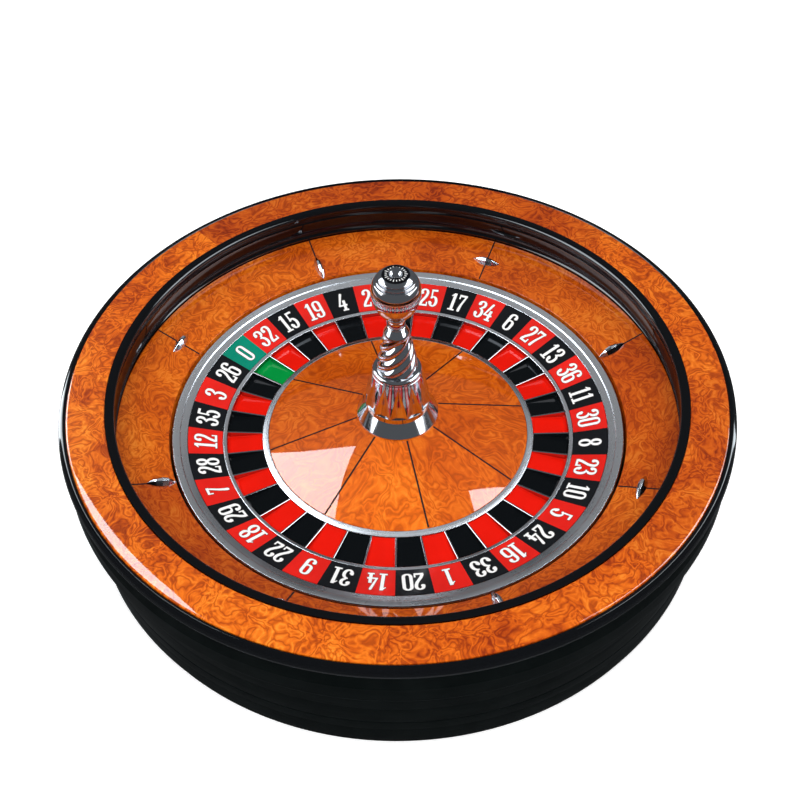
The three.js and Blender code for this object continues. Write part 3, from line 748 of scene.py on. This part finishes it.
def make_apron():
    apron = bowl_copy("apron_ring", "apron_veneer", APRON_BURL, 0.5 * MM, APRON_INLAY_ANGLE)
    veneer_maps(apron, APRON_INLAY_ANGLE, APRON_TONE_AND_PAINTED_LIGHT)
    inner, outer = radii("apron_ring")
    surface = slope_of("apron_ring", inner, outer)
    edge = 0.6 * MM
    radial_inlays("apron_inlays", APRON_INLAY_ANGLE, inner + edge, outer - edge, surface, 2.1 * MM, "bowl")
    for k in range(WEDGES):
        make_deflector(k, surface)


def make_deflector(index, surface):
    """A chrome stud shaped like a canoe, cut in flat facets, with a low upright edge round its foot."""
    node = f"deflector_{index + 1}"
    low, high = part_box(node)
    middle = (Vector(low) + Vector(high)) / 2
    radius = hypot(middle.x, middle.y)
    half_length, half_width, height = 19 * MM, 6.5 * MM, 8.2 * MM
    rows = []
    for t in (-1.0, -0.78, -0.42, 0.0, 0.42, 0.78, 1.0):
        half = max(half_width * (1 - abs(t) ** 2.2), 0.3 * MM)
        crown = max(height * (1 - abs(t) ** 2.6) * (1 - 0.12 * abs(t)), 0.5 * MM)
        edge = 0.9 * MM * min(1, crown / (2 * MM))
        flank = [(half, 0), (half, edge), (half * 0.42, crown * 0.86)]
        section = [(-y, z) for y, z in flank] + [(0, crown)] + flank[::-1]
        rows.append([(t * half_length, y, z) for y, z in section])
    verts = [p for row in rows for p in row]
    side = len(rows[0])
    faces = ring_faces(len(rows), side, False)
    faces += [tuple(range(side)), tuple(reversed(range(len(verts) - side, len(verts))))]
    stud = face_out(mesh_object(f"deflector_stud_{index + 1}", verts, faces, [STUD_CHROME], 12))
    bevel = stud.modifiers.new("edges", "BEVEL")
    bevel.width = 0.25 * MM
    bevel.segments = 2
    bevel.limit_method = "ANGLE"
    angle = APRON_INLAY_ANGLE + index * WEDGE_STEP
    rise = atan2(surface(radius + MM) - surface(radius), MM)
    turn = Matrix.Rotation(angle, 4, "Z") @ Matrix.Rotation(-rise, 4, "Y")
    if index % 2:
        turn = turn @ Matrix.Rotation(pi / 2, 4, "Z")
    place = Vector(polar(radius, angle, surface(radius) + 0.15 * MM))
    stud.data.transform(Matrix.Translation(place) @ turn)
    on_body(stud, "bowl", [node])


# ---------- numerals ----------

NUMERAL_HEIGHT = 28.6 * MM
# These are in glyph units: a numeral is 100 high.
GLYPH_W = 43
GLYPH_H = 100
STEM = 13.5
HAIR = 8.0
DIGIT_GAP = 3.5
PITCH = 0.75  # of the grid that traces the outlines
SLACK = 0.10  # how far a traced outline may be straightened


class Glyph:
    """A numeral as a distance field: strokes that are thick when upright and thin when level, and blocks."""

    def __init__(self, width=GLYPH_W):
        self.width = width
        self.strokes = []
        self.blocks = []

    def stroke(self, points, closed=False, widths=None):
        pts = [Vector(p) for p in points]
        if closed:
            pts.append(pts[0])
        for k, (a, b) in enumerate(zip(pts, pts[1:])):
            if (b - a).length < 1e-6:
                continue
            if widths:
                wide = [widths[0] + (widths[1] - widths[0]) * t / (len(pts) - 1) for t in (k, k + 1)]
            else:
                wide = [self.weight(pts, k, closed), self.weight(pts, k + 1, closed)]
            self.strokes.append((a, b, wide[0] / 2, wide[1] / 2))
        return self

    @staticmethod
    def weight(pts, k, closed):
        last = len(pts) - 1
        before = pts[k - 1] if k > 0 else pts[last - 1 if closed else 0]
        after = pts[k + 1] if k < last else pts[1 if closed else last]
        run = after - before
        upright = abs(run.y) / run.length
        return HAIR + (STEM - HAIR) * upright ** 1.6

    def ball(self, x, y, radius):
        self.strokes.append((Vector((x, y)), Vector((x + 0.01, y)), radius, radius))
        return self

    def block(self, x0, y0, x1, y1):
        self.blocks.append(((x0 + x1) / 2, (y0 + y1) / 2, (x1 - x0) / 2, (y1 - y0) / 2))
        return self

    def field(self, x, y):
        best = np.full(np.shape(x), 1e9)
        for a, b, wa, wb in self.strokes:
            dx, dy = b.x - a.x, b.y - a.y
            t = np.clip(((x - a.x) * dx + (y - a.y) * dy) / (dx * dx + dy * dy), 0, 1)
            gap = np.hypot(x - a.x - t * dx, y - a.y - t * dy) - (wa + (wb - wa) * t)
            best = np.minimum(best, gap)
        for cx, cy, hx, hy in self.blocks:
            ox, oy = np.abs(x - cx) - hx, np.abs(y - cy) - hy
            outside = np.hypot(np.maximum(ox, 0), np.maximum(oy, 0))
            best = np.minimum(best, outside + np.minimum(np.maximum(ox, oy), 0))
        return best


def half_turn(glyph):
    """The glyph turned upside down, as a nine is a turned six."""
    other = Glyph(glyph.width)
    middle = Vector((glyph.width, GLYPH_H))
    other.strokes = [(middle - a, middle - b, wa, wb) for a, b, wa, wb in glyph.strokes]
    other.blocks = [(glyph.width - cx, GLYPH_H - cy, hx, hy) for cx, cy, hx, hy in glyph.blocks]
    return other


def glyphs():
    """Condensed slab numerals of our own drawing."""
    upper = arc_points((21.5, 80), (14.8, 16), 0, 180, 13)
    lower = arc_points((21.5, 20), (14.8, 16), 180, 360, 13)
    zero = Glyph().stroke(upper + lower, closed=True)
    one = Glyph(36).block(13, 4, 27, 99).block(4, 0, 36, 8).stroke([(19, 94), (5, 82)], widths=(11, 4))
    two = Glyph().ball(9.5, 75, 7.6)
    two.stroke(arc_points((21.2, 79), (14.6, 17), 195, 0, 14)
               + [(35, 70), (31, 56), (23, 42), (14, 27), (8, 10)])
    two.block(3, 0, 41, 10).block(34.5, 0, 41, 24)
    three = Glyph().ball(9.2, 79, 7.4).ball(8.8, 21, 7.6)
    three.stroke(arc_points((20.5, 78), (14.6, 18), 185, -70, 16)).block(15, 50.5, 25, 57.5)
    three.stroke(arc_points((20.8, 28.5), (15.4, 24.5), 75, -172, 18))
    four = Glyph().stroke([(24, 95), (6, 36)], widths=(12, 8)).block(0, 27, 43, 36)
    four.block(23, 2, 36.5, 60).block(16, 0, 43, 8)
    five = Glyph().block(8, 89, 38, 100).block(8, 52, 15.5, 95).ball(9, 20, 7.6)
    five.stroke(arc_points((20.5, 31), (15.4, 27), 128, -168, 18))
    six = Glyph().ball(33.5, 78, 7.2)
    six.stroke(arc_points((21.5, 80), (14.8, 16), -5, 180, 14) + lower
               + arc_points((21.5, 44), (14.8, 14), 0, 165, 12))
    seven = Glyph().block(3, 87, 41, 98).block(3, 73, 9.5, 98)
    seven.stroke([(36, 91), (29, 66), (22, 42), (18, 20), (17, 7)], widths=(8, 14))
    eight = Glyph().stroke(arc_points((21.5, 75.8), (13.4, 20), 0, 360, 26)[:-1], closed=True)
    eight.stroke(arc_points((21.5, 27.2), (14.9, 23.2), 0, 360, 28)[:-1], closed=True)
    return [zero, one, two, three, four, five, six, seven, eight, half_turn(six)]


def outlines(glyph, grow):
    """Closed loops where the glyph's field, grown by an amount, crosses zero."""
    pad = grow + 3 * PITCH
    xs = np.arange(-pad, glyph.width + pad, PITCH)
    ys = np.arange(-pad, GLYPH_H + pad, PITCH)
    gx, gy = np.meshgrid(xs, ys)
    value = glyph.field(gx, gy) - grow
    value[value == 0] = 1e-9
    points = {}

    def crossing(j, i, dj, di):
        key = (j, i, dj, di)
        if key not in points:
            a, b = value[j, i], value[j + dj, i + di]
            t = a / (a - b)
            points[key] = (xs[i] + t * di * PITCH, ys[j] + t * dj * PITCH)
        return key

    links = {}
    inside = value < 0
    for j in range(len(ys) - 1):
        for i in range(len(xs) - 1):
            corner = [inside[j, i], inside[j, i + 1], inside[j + 1, i + 1], inside[j + 1, i]]
            if all(corner) or not any(corner):
                continue
            sides = [(j, i, 0, 1), (j, i + 1, 1, 0), (j + 1, i, 0, 1), (j, i, 1, 0)]
            crossed = [crossing(*sides[k]) for k in range(4) if corner[k] != corner[(k + 1) % 4]]
            if len(crossed) == 4 and not corner[0]:
                crossed = crossed[1:] + crossed[:1]
            for a, b in zip(crossed[0::2], crossed[1::2]):
                links.setdefault(a, []).append(b)
                links.setdefault(b, []).append(a)
    loops = []
    left = set(links)
    while left:
        here = min(left)
        loop = []
        while here in left:
            left.discard(here)
            loop.append(points[here])
            ahead = [p for p in links[here] if p in left]
            if ahead:
                here = ahead[0]
        loops.append(thinned(loop))
    return loops


def thinned(loop):
    """The loop without the points that lie on the line between their neighbours."""
    kept = [loop[0]]
    k = 0
    while k < len(loop) - 1:
        step = 1
        while k + step + 1 < len(loop) and step < 12:
            a, b = Vector(loop[k]), Vector(loop[k + step + 1])
            line = b - a
            if line.length < 1e-6:
                break
            far = max(abs(line.cross(Vector(p) - a)) / line.length for p in loop[k + 1:k + step + 1])
            if far > SLACK:
                break
            step += 1
        k += step
        kept.append(loop[k])
    return kept[:-1] if len(kept) > 3 and (Vector(kept[-1]) - Vector(kept[0])).length < 0.4 else kept


def glyph_mesh(glyph, grow):
    """Flat triangles that fill the glyph, in glyph units."""
    loops = outlines(glyph, grow)
    verts = []
    edges = []
    for loop in loops:
        edges += [(len(verts) + k, len(verts) + (k + 1) % len(loop)) for k in range(len(loop))]
        verts += [Vector(p) for p in loop]
    points, _, faces, *_ = delaunay_2d_cdt(verts, edges, [], 1, 1e-5)
    kept = []
    for face in faces:
        x = sum(points[i].x for i in face) / 3
        y = sum(points[i].y for i in face) / 3
        if glyph.field(np.array([x]), np.array([y]))[0] < grow:
            kept.append(tuple(face))
    return [(p.x, p.y) for p in points], kept


def raised(points, faces, place, low, high):
    """A closed thin solid from flat triangles, laid on a surface by place(x, y, height)."""
    verts = [place(x, y, high) for x, y in points] + [place(x, y, low) for x, y in points]
    count = len(points)
    out = [tuple(f) for f in faces] + [tuple(count + i for i in reversed(f)) for f in faces]
    sides = dict.fromkeys((a, b) for face in faces for a, b in zip(face, face[1:] + face[:1]))
    for a, b in sides:
        if (b, a) not in sides:
            out.append((b, a, count + a, count + b))
    return verts, out


def make_numerals(surface, inner, outer):
    """The numbers on the band, each read from the wheel's edge inwards."""
    digits = glyphs()
    size = NUMERAL_HEIGHT / GLYPH_H
    middle = (inner + outer) / 2 - 0.5 * MM
    slope = atan2(surface(outer) - surface(inner), outer - inner)
    looks = {"numeral_outlines": (1.9, 0.13 * MM, OUTLINE), "numerals": (0.0, 0.20 * MM, WHITE)}
    for name, (grow, high, material) in looks.items():
        flat = [glyph_mesh(g, grow) for g in digits]
        parts = []
        for k, number in enumerate(WHEEL_ORDER):
            angle = ZERO_ANGLE - k * POCKET_STEP
            text = [int(c) for c in str(number)]
            total = sum(digits[d].width for d in text) + DIGIT_GAP * (len(text) - 1)
            cursor = -total / 2
            for digit in text:
                left = cursor

                def place(x, y, height, left=left, angle=angle):
                    side = -(left + x) * size
                    radius = middle + (y - GLYPH_H / 2) * size * cos(slope)
                    return beside(radius, side, angle, surface(hypot(radius, side)) + height)

                parts.append(raised(*flat[digit], place, 0.05 * MM, high))
                cursor += digits[digit].width + DIGIT_GAP
        add_piece(name, parts, [material], "rotor")


# ---------- rotor ----------

FRET_HALF = 1.0 * MM


def pocket_tiles(name, tile, paints, node, smooth_angle=30):
    """One slab over each pocket's sector: red and black by turns, and green for the zero."""
    tiles = [tile(k) for k in range(POCKETS)]
    piece = add_piece(name, tiles, paints, "rotor", [node], smooth_angle)
    red, black, green = range(3)
    colors = []
    for k, (_, faces) in enumerate(tiles):
        colors += [green if WHEEL_ORDER[k] == 0 else (black, red)[k % 2]] * len(faces)
    for face, index in zip(piece.data.polygons, colors):
        face.material_index = index


def arc_tile(k, inner, outer, top_surface, depth, gap, columns, rows):
    """A slab over one pocket's sector, with its top at top_surface(radius, s) for s from -1 to 1."""
    middle = ZERO_ANGLE - k * POCKET_STEP

    def top(u, v):
        radius = inner + (outer - inner) * v
        half = POCKET_STEP / 2 - gap / radius
        s = u * 2 - 1
        return polar(radius, middle + s * half, top_surface(radius, s))

    def low(u, v):
        x, y, z = top(u, v)
        return (x, y, z - depth)

    return grid_shell(columns, rows, top, low)


def make_number_band():
    inner, outer = radii("number_band")
    surface = slope_of("number_band", inner, outer)

    def tile(k):
        return arc_tile(k, inner, outer, lambda radius, s: surface(radius), 5 * MM, 0.03 * MM, 8, 4)

    pocket_tiles("number_tiles", tile, NUMBER_PAINTS, "number_band")
    make_numerals(surface, inner, outer)


def make_pockets():
    """Coloured pads that rise at their edges, inside the metal ring that separates them from the numbers."""
    inner, outer = radii("pocket_floor")
    floor_z = slope_of("pocket_floor", inner, outer)
    sections = [name for name in frame["nodes"] if name.startswith("fret_section")]
    corners = [v.co for name in sections for v in frame["nodes"][name].data.vertices]
    wall_outer = max(hypot(v.x, v.y) for v in corners)
    ring_top = max(v.z for v in corners)
    ring_low = min(v.z for v in corners)

    def dish(radius, s):
        wall = max(0.0, abs(s) - 0.90) / 0.10
        back = max(0.0, (radius - (outer - 3.2 * MM)) / (3.2 * MM))
        front = max(0.0, ((inner + 1.6 * MM) - radius) / (1.6 * MM))
        climb = 3.4 * MM * back ** 2 + 1.4 * MM * front ** 2 + 1.0 * MM * wall ** 2
        return floor_z(radius) + 0.3 * MM + climb

    def pad(k):
        return arc_tile(k, inner, outer, dish, 2.4 * MM, FRET_HALF + 0.1 * MM, 20, 22)

    pocket_tiles("pocket_pads", pad, PAD_PAINTS, "pocket_floor", 50)

    wall_inner = outer + 0.3 * MM
    top_inner = ring_top - (wall_outer - wall_inner) * 0.26
    ring = [(wall_inner, ring_low), (wall_outer, ring_low), (wall_outer, ring_top), (wall_inner, top_inner)]
    separator = lathe("separator_ring", rounded(ring, 0.7 * MM), ROTOR_SEGMENTS, [ALUMINIUM], ZERO_ANGLE)
    on_body(separator, "rotor", sections)
    make_frets(inner, wall_inner, floor_z, ring_top - 0.4 * MM)


def make_frets(inner, outer, floor_z, outer_top):
    """Thin round-topped walls between the pockets, which rise from the inner ring to the separator ring."""
    inner_top = slope_of("pocket_inner_ring", *radii("pocket_inner_ring"))(inner) + 0.2 * MM
    parts = []
    for k in range(POCKETS):
        angle = ZERO_ANGLE + (k + 0.5) * POCKET_STEP

        def top(u, v, angle=angle):
            side = u * 2 - 1
            crest = inner_top + (outer_top - inner_top) * v
            radius = inner + 0.2 * MM + (outer - inner) * v
            return beside(radius, side * FRET_HALF, angle, crest - 0.55 * MM * abs(side) ** 3)

        def low(u, v, top=top):
            x, y, _ = top(u, v)
            return (x, y, floor_z(hypot(x, y)) + 0.1 * MM)

        parts.append(grid_shell(6, 8, top, low))
    add_piece("frets", parts, [CHROME], "rotor", smooth_angle=40)


def make_cone():
    cone = turned_copy("cone_cover", "cone_veneer", BOWL_SEGMENTS, [CONE_BURL], "rotor",
                       0.4 * MM, CONE_INLAY_ANGLE)
    veneer_maps(cone, CONE_INLAY_ANGLE, CONE_TONE_AND_PAINTED_LIGHT)
    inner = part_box("turret_flange")[1][0] + 1.6 * MM
    outer = radii("cone_cover")[1]
    surface = slope_of("cone_cover", inner, outer)
    radial_inlays("cone_inlays", CONE_INLAY_ANGLE, inner, outer - 0.5 * MM, surface, 2.2 * MM, "rotor")
    rotor_copy("pocket_inner_ring", "pocket_ring", 0.6 * MM)
    rotor_copy("number_rim_ring", "rotor_rim", 0.5 * MM)


# ---------- turret ----------

FLUTES = 12
FLUTE_ANGLE = radians(-87.8)
STRANDS = 6
STRAND_ANGLE = radians(-60)
STRAND_PITCH = 92 * MM
BORE = 5.3 * MM
BUTTON_FOOT = 8.0 * MM
FLUTE_DEPTH = 3.6 * MM
STRAND_DEPTH = 3.1 * MM
GROOVE_DEPTH = 1.7 * MM
BEADS = 84
TICKS = 21


def make_turret():
    make_flange(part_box("turret_flange"))
    make_bell(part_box("turret_bell"))
    make_column(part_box("turret_column"))
    make_neck(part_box("turret_neck"))
    knob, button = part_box("turret_knob"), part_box("turret_button")
    make_knob(knob, button[1][2])
    make_button(button, knob[1][2] + 2.1 * MM)


def wrapped(rows):
    """A closed shell from rings of (radius, angle, z) points."""
    return [polar(*p) for row in rows for p in row], ring_faces(len(rows), len(rows[0]), True)


def turned(name, node, profile, smooth_angle=30, segments=TURRET_SEGMENTS):
    """A chrome piece of the turret, from its (radius, z) outline."""
    piece = lathe(name, profile, segments, [CHROME], smooth_angle=smooth_angle)
    on_body(piece, "rotor", [node])


def scaled(outline, rise=0.0):
    """An outline given in millimetres, in metres and raised."""
    return [(radius * MM, rise + z * MM) for radius, z in outline]


def along_line(points, z):
    """The value at z on the broken line through (z, value) points."""
    for (z0, a), (z1, b) in zip(points, points[1:]):
        if z <= z1:
            return a + (b - a) * (z - z0) / (z1 - z0)
    return points[-1][1]


def make_flange(box):
    """A polished cone with a thin edge, and a short collar that carries the bell."""
    low, high = box[0][2], box[1][2]
    foot = box[1][0]
    collar = 38.8 * MM
    outline = [(BORE, low), (foot, low), (foot, low + 1.2 * MM), (collar, low + 16.5 * MM), (collar, high),
               (BORE, high)]
    turned("flange", "turret_flange", rounded(outline, 0.4 * MM), segments=TURRET_SEGMENTS * 2)


def make_bell(box):
    """Pointed flutes are cut into a cone, so that ribs run between them and widen into a smooth collar."""
    low, high = box[0][2], box[1][2]
    tip = RIM_TOP + 10.5 * MM
    groove = RIM_TOP + 13.5 * MM
    outline = [(low, 39.6), (low + 1.2 * MM, 40.3), (RIM_TOP - 17.5 * MM, 37.4), (RIM_TOP - 8 * MM, 35.1),
               (tip, 30.9), (groove, 30.3)]
    across = 14
    ribs = 4
    levels = 30
    pitch = TAU / FLUTES
    rows = []
    for j in range(levels + 1):
        t = j / levels
        z = low + (tip - low) * t
        half = pitch * 0.46 * (1 - t ** 1.8)
        depth = FLUTE_DEPTH * (1 - t ** 1.6)
        body = along_line(outline, z) * MM
        row = []
        for flute in range(FLUTES):
            middle = FLUTE_ANGLE + flute * pitch
            for i in range(across):
                s = 2 * i / across - 1
                row.append((body - depth * (1 - s * s), middle + s * half, z))
            for i in range(ribs):
                row.append((body, middle + half + i / ribs * (pitch - 2 * half), z))
        rows.append(row)
    collar = scaled([(30.4, -0.5), (29.8, 0), (30.3, 0.5), (30.1, 2.5), (29.4, 4.5), (28.4, 5.8)], groove)
    collar += [(27.0 * MM, high - 0.3 * MM), (25.6 * MM, high), (BORE, high)]
    rows += [[(radius, angle, z) for _, angle, _ in rows[levels]] for radius, z in collar]
    rows.append([(BORE, angle, low) for _, angle, _ in rows[0]])
    add_piece("bell", [wrapped(rows)], [CHROME], "rotor", ["turret_bell"], 32)


def make_column(box):
    """Six rounded strands wind up the taper like a rope, with sharp valleys between them."""
    low, high = box[0][2], box[1][2]
    columns = STRANDS * 22
    levels = 72
    rows = []
    for j in range(levels + 1):
        t = j / levels
        z = low + (high - low) * t
        body = (25.0 - 9.2 * t ** 1.3) * MM
        fade = min(1.0, (high - z) / (11 * MM))
        twist = STRAND_ANGLE + TAU * (z - low) / STRAND_PITCH
        row = []
        for i in range(columns):
            angle = TAU * i / columns
            crest = abs(cos(STRANDS / 2 * angle))
            row.append((body - STRAND_DEPTH * fade * (1 - crest) ** 1.1, angle + twist, z))
        rows.append(row)
    rows += [[(BORE, angle, z) for _, angle, _ in rows[levels]] for z in (high, low)]
    rows.append([(BORE + 2 * MM, angle, low) for _, angle, _ in rows[0]])
    add_piece("rope_column", [wrapped(rows)], [CHROME], "rotor", ["turret_column"], 40)


def make_neck(box):
    """A smooth dome over the column, drawn in to a slim neck with a bright bead."""
    low, high = box[0][2], box[1][2]
    outline = [(15.7, 0.0), (15.6, 1.0), (15.1, 2.6), (14.3, 4.2), (13.1, 6.2), (12.0, 8.2), (10.9, 10.2),
               (10.5, 10.8), (10.9, 11.3), (11.0, 12.0), (10.5, 12.7), (9.7, 13.0), (9.5, 14.5), (9.5, 18.5),
               (9.8, 20.5), (10.6, 22.4), (11.6, 23.6)]
    profile = [(BORE, low)] + scaled(outline, low) + [(11.6 * MM, high), (BORE, high)]
    turned("neck", "turret_neck", profile, 45)


def make_knob(box, top):
    """The ball: a funnel below, a ridge round the waist, two grooves, and a dark disc above."""
    low, high = box[0][2], box[1][2]
    radius = box[1][0]
    middle = top - 31.5 * MM
    profile = [(0, low + 22 * MM), (BORE, low + 22 * MM), (BORE, low)]
    funnel = [(11.8, 0), (12.5, 0.6), (12.5, 2.3), (12.0, 3.1), (14.5, 5.2), (18.0, 8.7), (21.2, 12.7),
              (23.8, 17.2), (25.8, 22.2), (27.2, 27.7), (28.0, 32.7), (28.1, 35.1)]
    profile += scaled(funnel, low)
    waist = middle + 1.2 * MM
    profile += [(27.7 * MM, waist - 3.2 * MM), (28.3 * MM, waist - 1.2 * MM), (radius, waist - 0.3 * MM),
                (radius, waist + 0.3 * MM), (28.7 * MM, waist + 1.1 * MM)]
    ball = radius - 0.1 * MM
    grooves = (32.0, 41.0)
    low_angle, top_angle = 6, 55
    steps = 54
    for k in range(steps + 1):
        latitude = low_angle + (top_angle - low_angle) * k / steps
        dip = max(GROOVE_DEPTH * exp(-((latitude - g) / 2.1) ** 2) for g in grooves)
        angle = radians(latitude)
        profile.append(((ball - dip) * cos(angle), middle + (ball - dip) * sin(angle)))
    disc_r, disc_z = profile[-1]
    profile += [(disc_r - 0.6 * MM, disc_z - 0.3 * MM), (0, disc_z - 0.3 * MM)]
    turned("knob", "turret_knob", profile, 50)
    make_beads(low + 35.1 * MM, 27.9 * MM)
    make_disc(disc_r - 0.7 * MM, disc_z, high - 0.2 * MM)


def make_disc(reach, edge_z, crown):
    """The knob's dark disc, with a ring of plain white ticks, of which every third is longer."""
    step = 0.2 * MM

    def surface(t):
        return reach * (1 - t) + BUTTON_FOOT * t, edge_z + step + (crown - edge_z) * sin(t * pi / 2)

    outline = [(0, edge_z - step), (reach, edge_z - step)]
    outline += [surface(k / 8) for k in range(9)] + [(0, crown + step)]
    disc = lathe("knob_disc", outline, TURRET_SEGMENTS, [GLOSS_BLACK], smooth_angle=50)
    on_body(disc, "rotor")
    ticks = []
    for k in range(TICKS):
        start, end = (0.42, 0.74) if k % 3 else (0.32, 0.80)

        def line(v, start=start, end=end):
            return surface(start + (end - start) * v)

        ticks.append(strip(TAU * k / TICKS, 0.9 * MM, line, 0.42 * MM, 4))
    add_piece("disc_ticks", ticks, [WHITE], "rotor")


def make_button(box, base):
    """A small dome on a short stem."""
    low, top = box[0][2], box[1][2]
    radius = box[1][0]
    outline = [(0, low), (radius, low), (radius, base - 0.1 * MM)]
    for k in range(1, 9):
        angle = radians(90 * k / 9)
        outline.append(((radius - 0.4 * MM) * cos(angle), base + (top - base) * sin(angle)))
    turned("button", "turret_button", outline + [(0, top)], 60, TURRET_SEGMENTS // 2)


def make_beads(height, radius):
    """A fine milled ring of beads round the funnel."""
    bm = bmesh.new()
    bmesh.ops.create_icosphere(bm, subdivisions=1, radius=0.8 * MM)
    bead = [v.co.copy() for v in bm.verts]
    faces = [tuple(v.index for v in f.verts) for f in bm.faces]
    bm.free()
    parts = []
    for k in range(BEADS):
        center = Vector(polar(radius + 0.4 * MM, TAU * k / BEADS, height))
        parts.append(([tuple(v + center) for v in bead], faces))
    add_piece("knob_beads", parts, [CHROME], "rotor", smooth_angle=60)


# ---------- CAD nodes that stay ----------

def finish_cad_nodes():
    """The hidden working parts keep their CAD shape and take a worked finish."""
    for name, obj in frame["nodes"].items():
        obj.data.materials.clear()
        obj.data.materials.append(BOARD if name in ("well_wall", "rim_core") else STEEL)


place_camera()
floor()
backdrop()
finish_cad_nodes()
make_rim()
make_base()
make_ball_track()
make_apron()
make_number_band()
make_pockets()
make_cone()
make_turret()
light_the_scene()
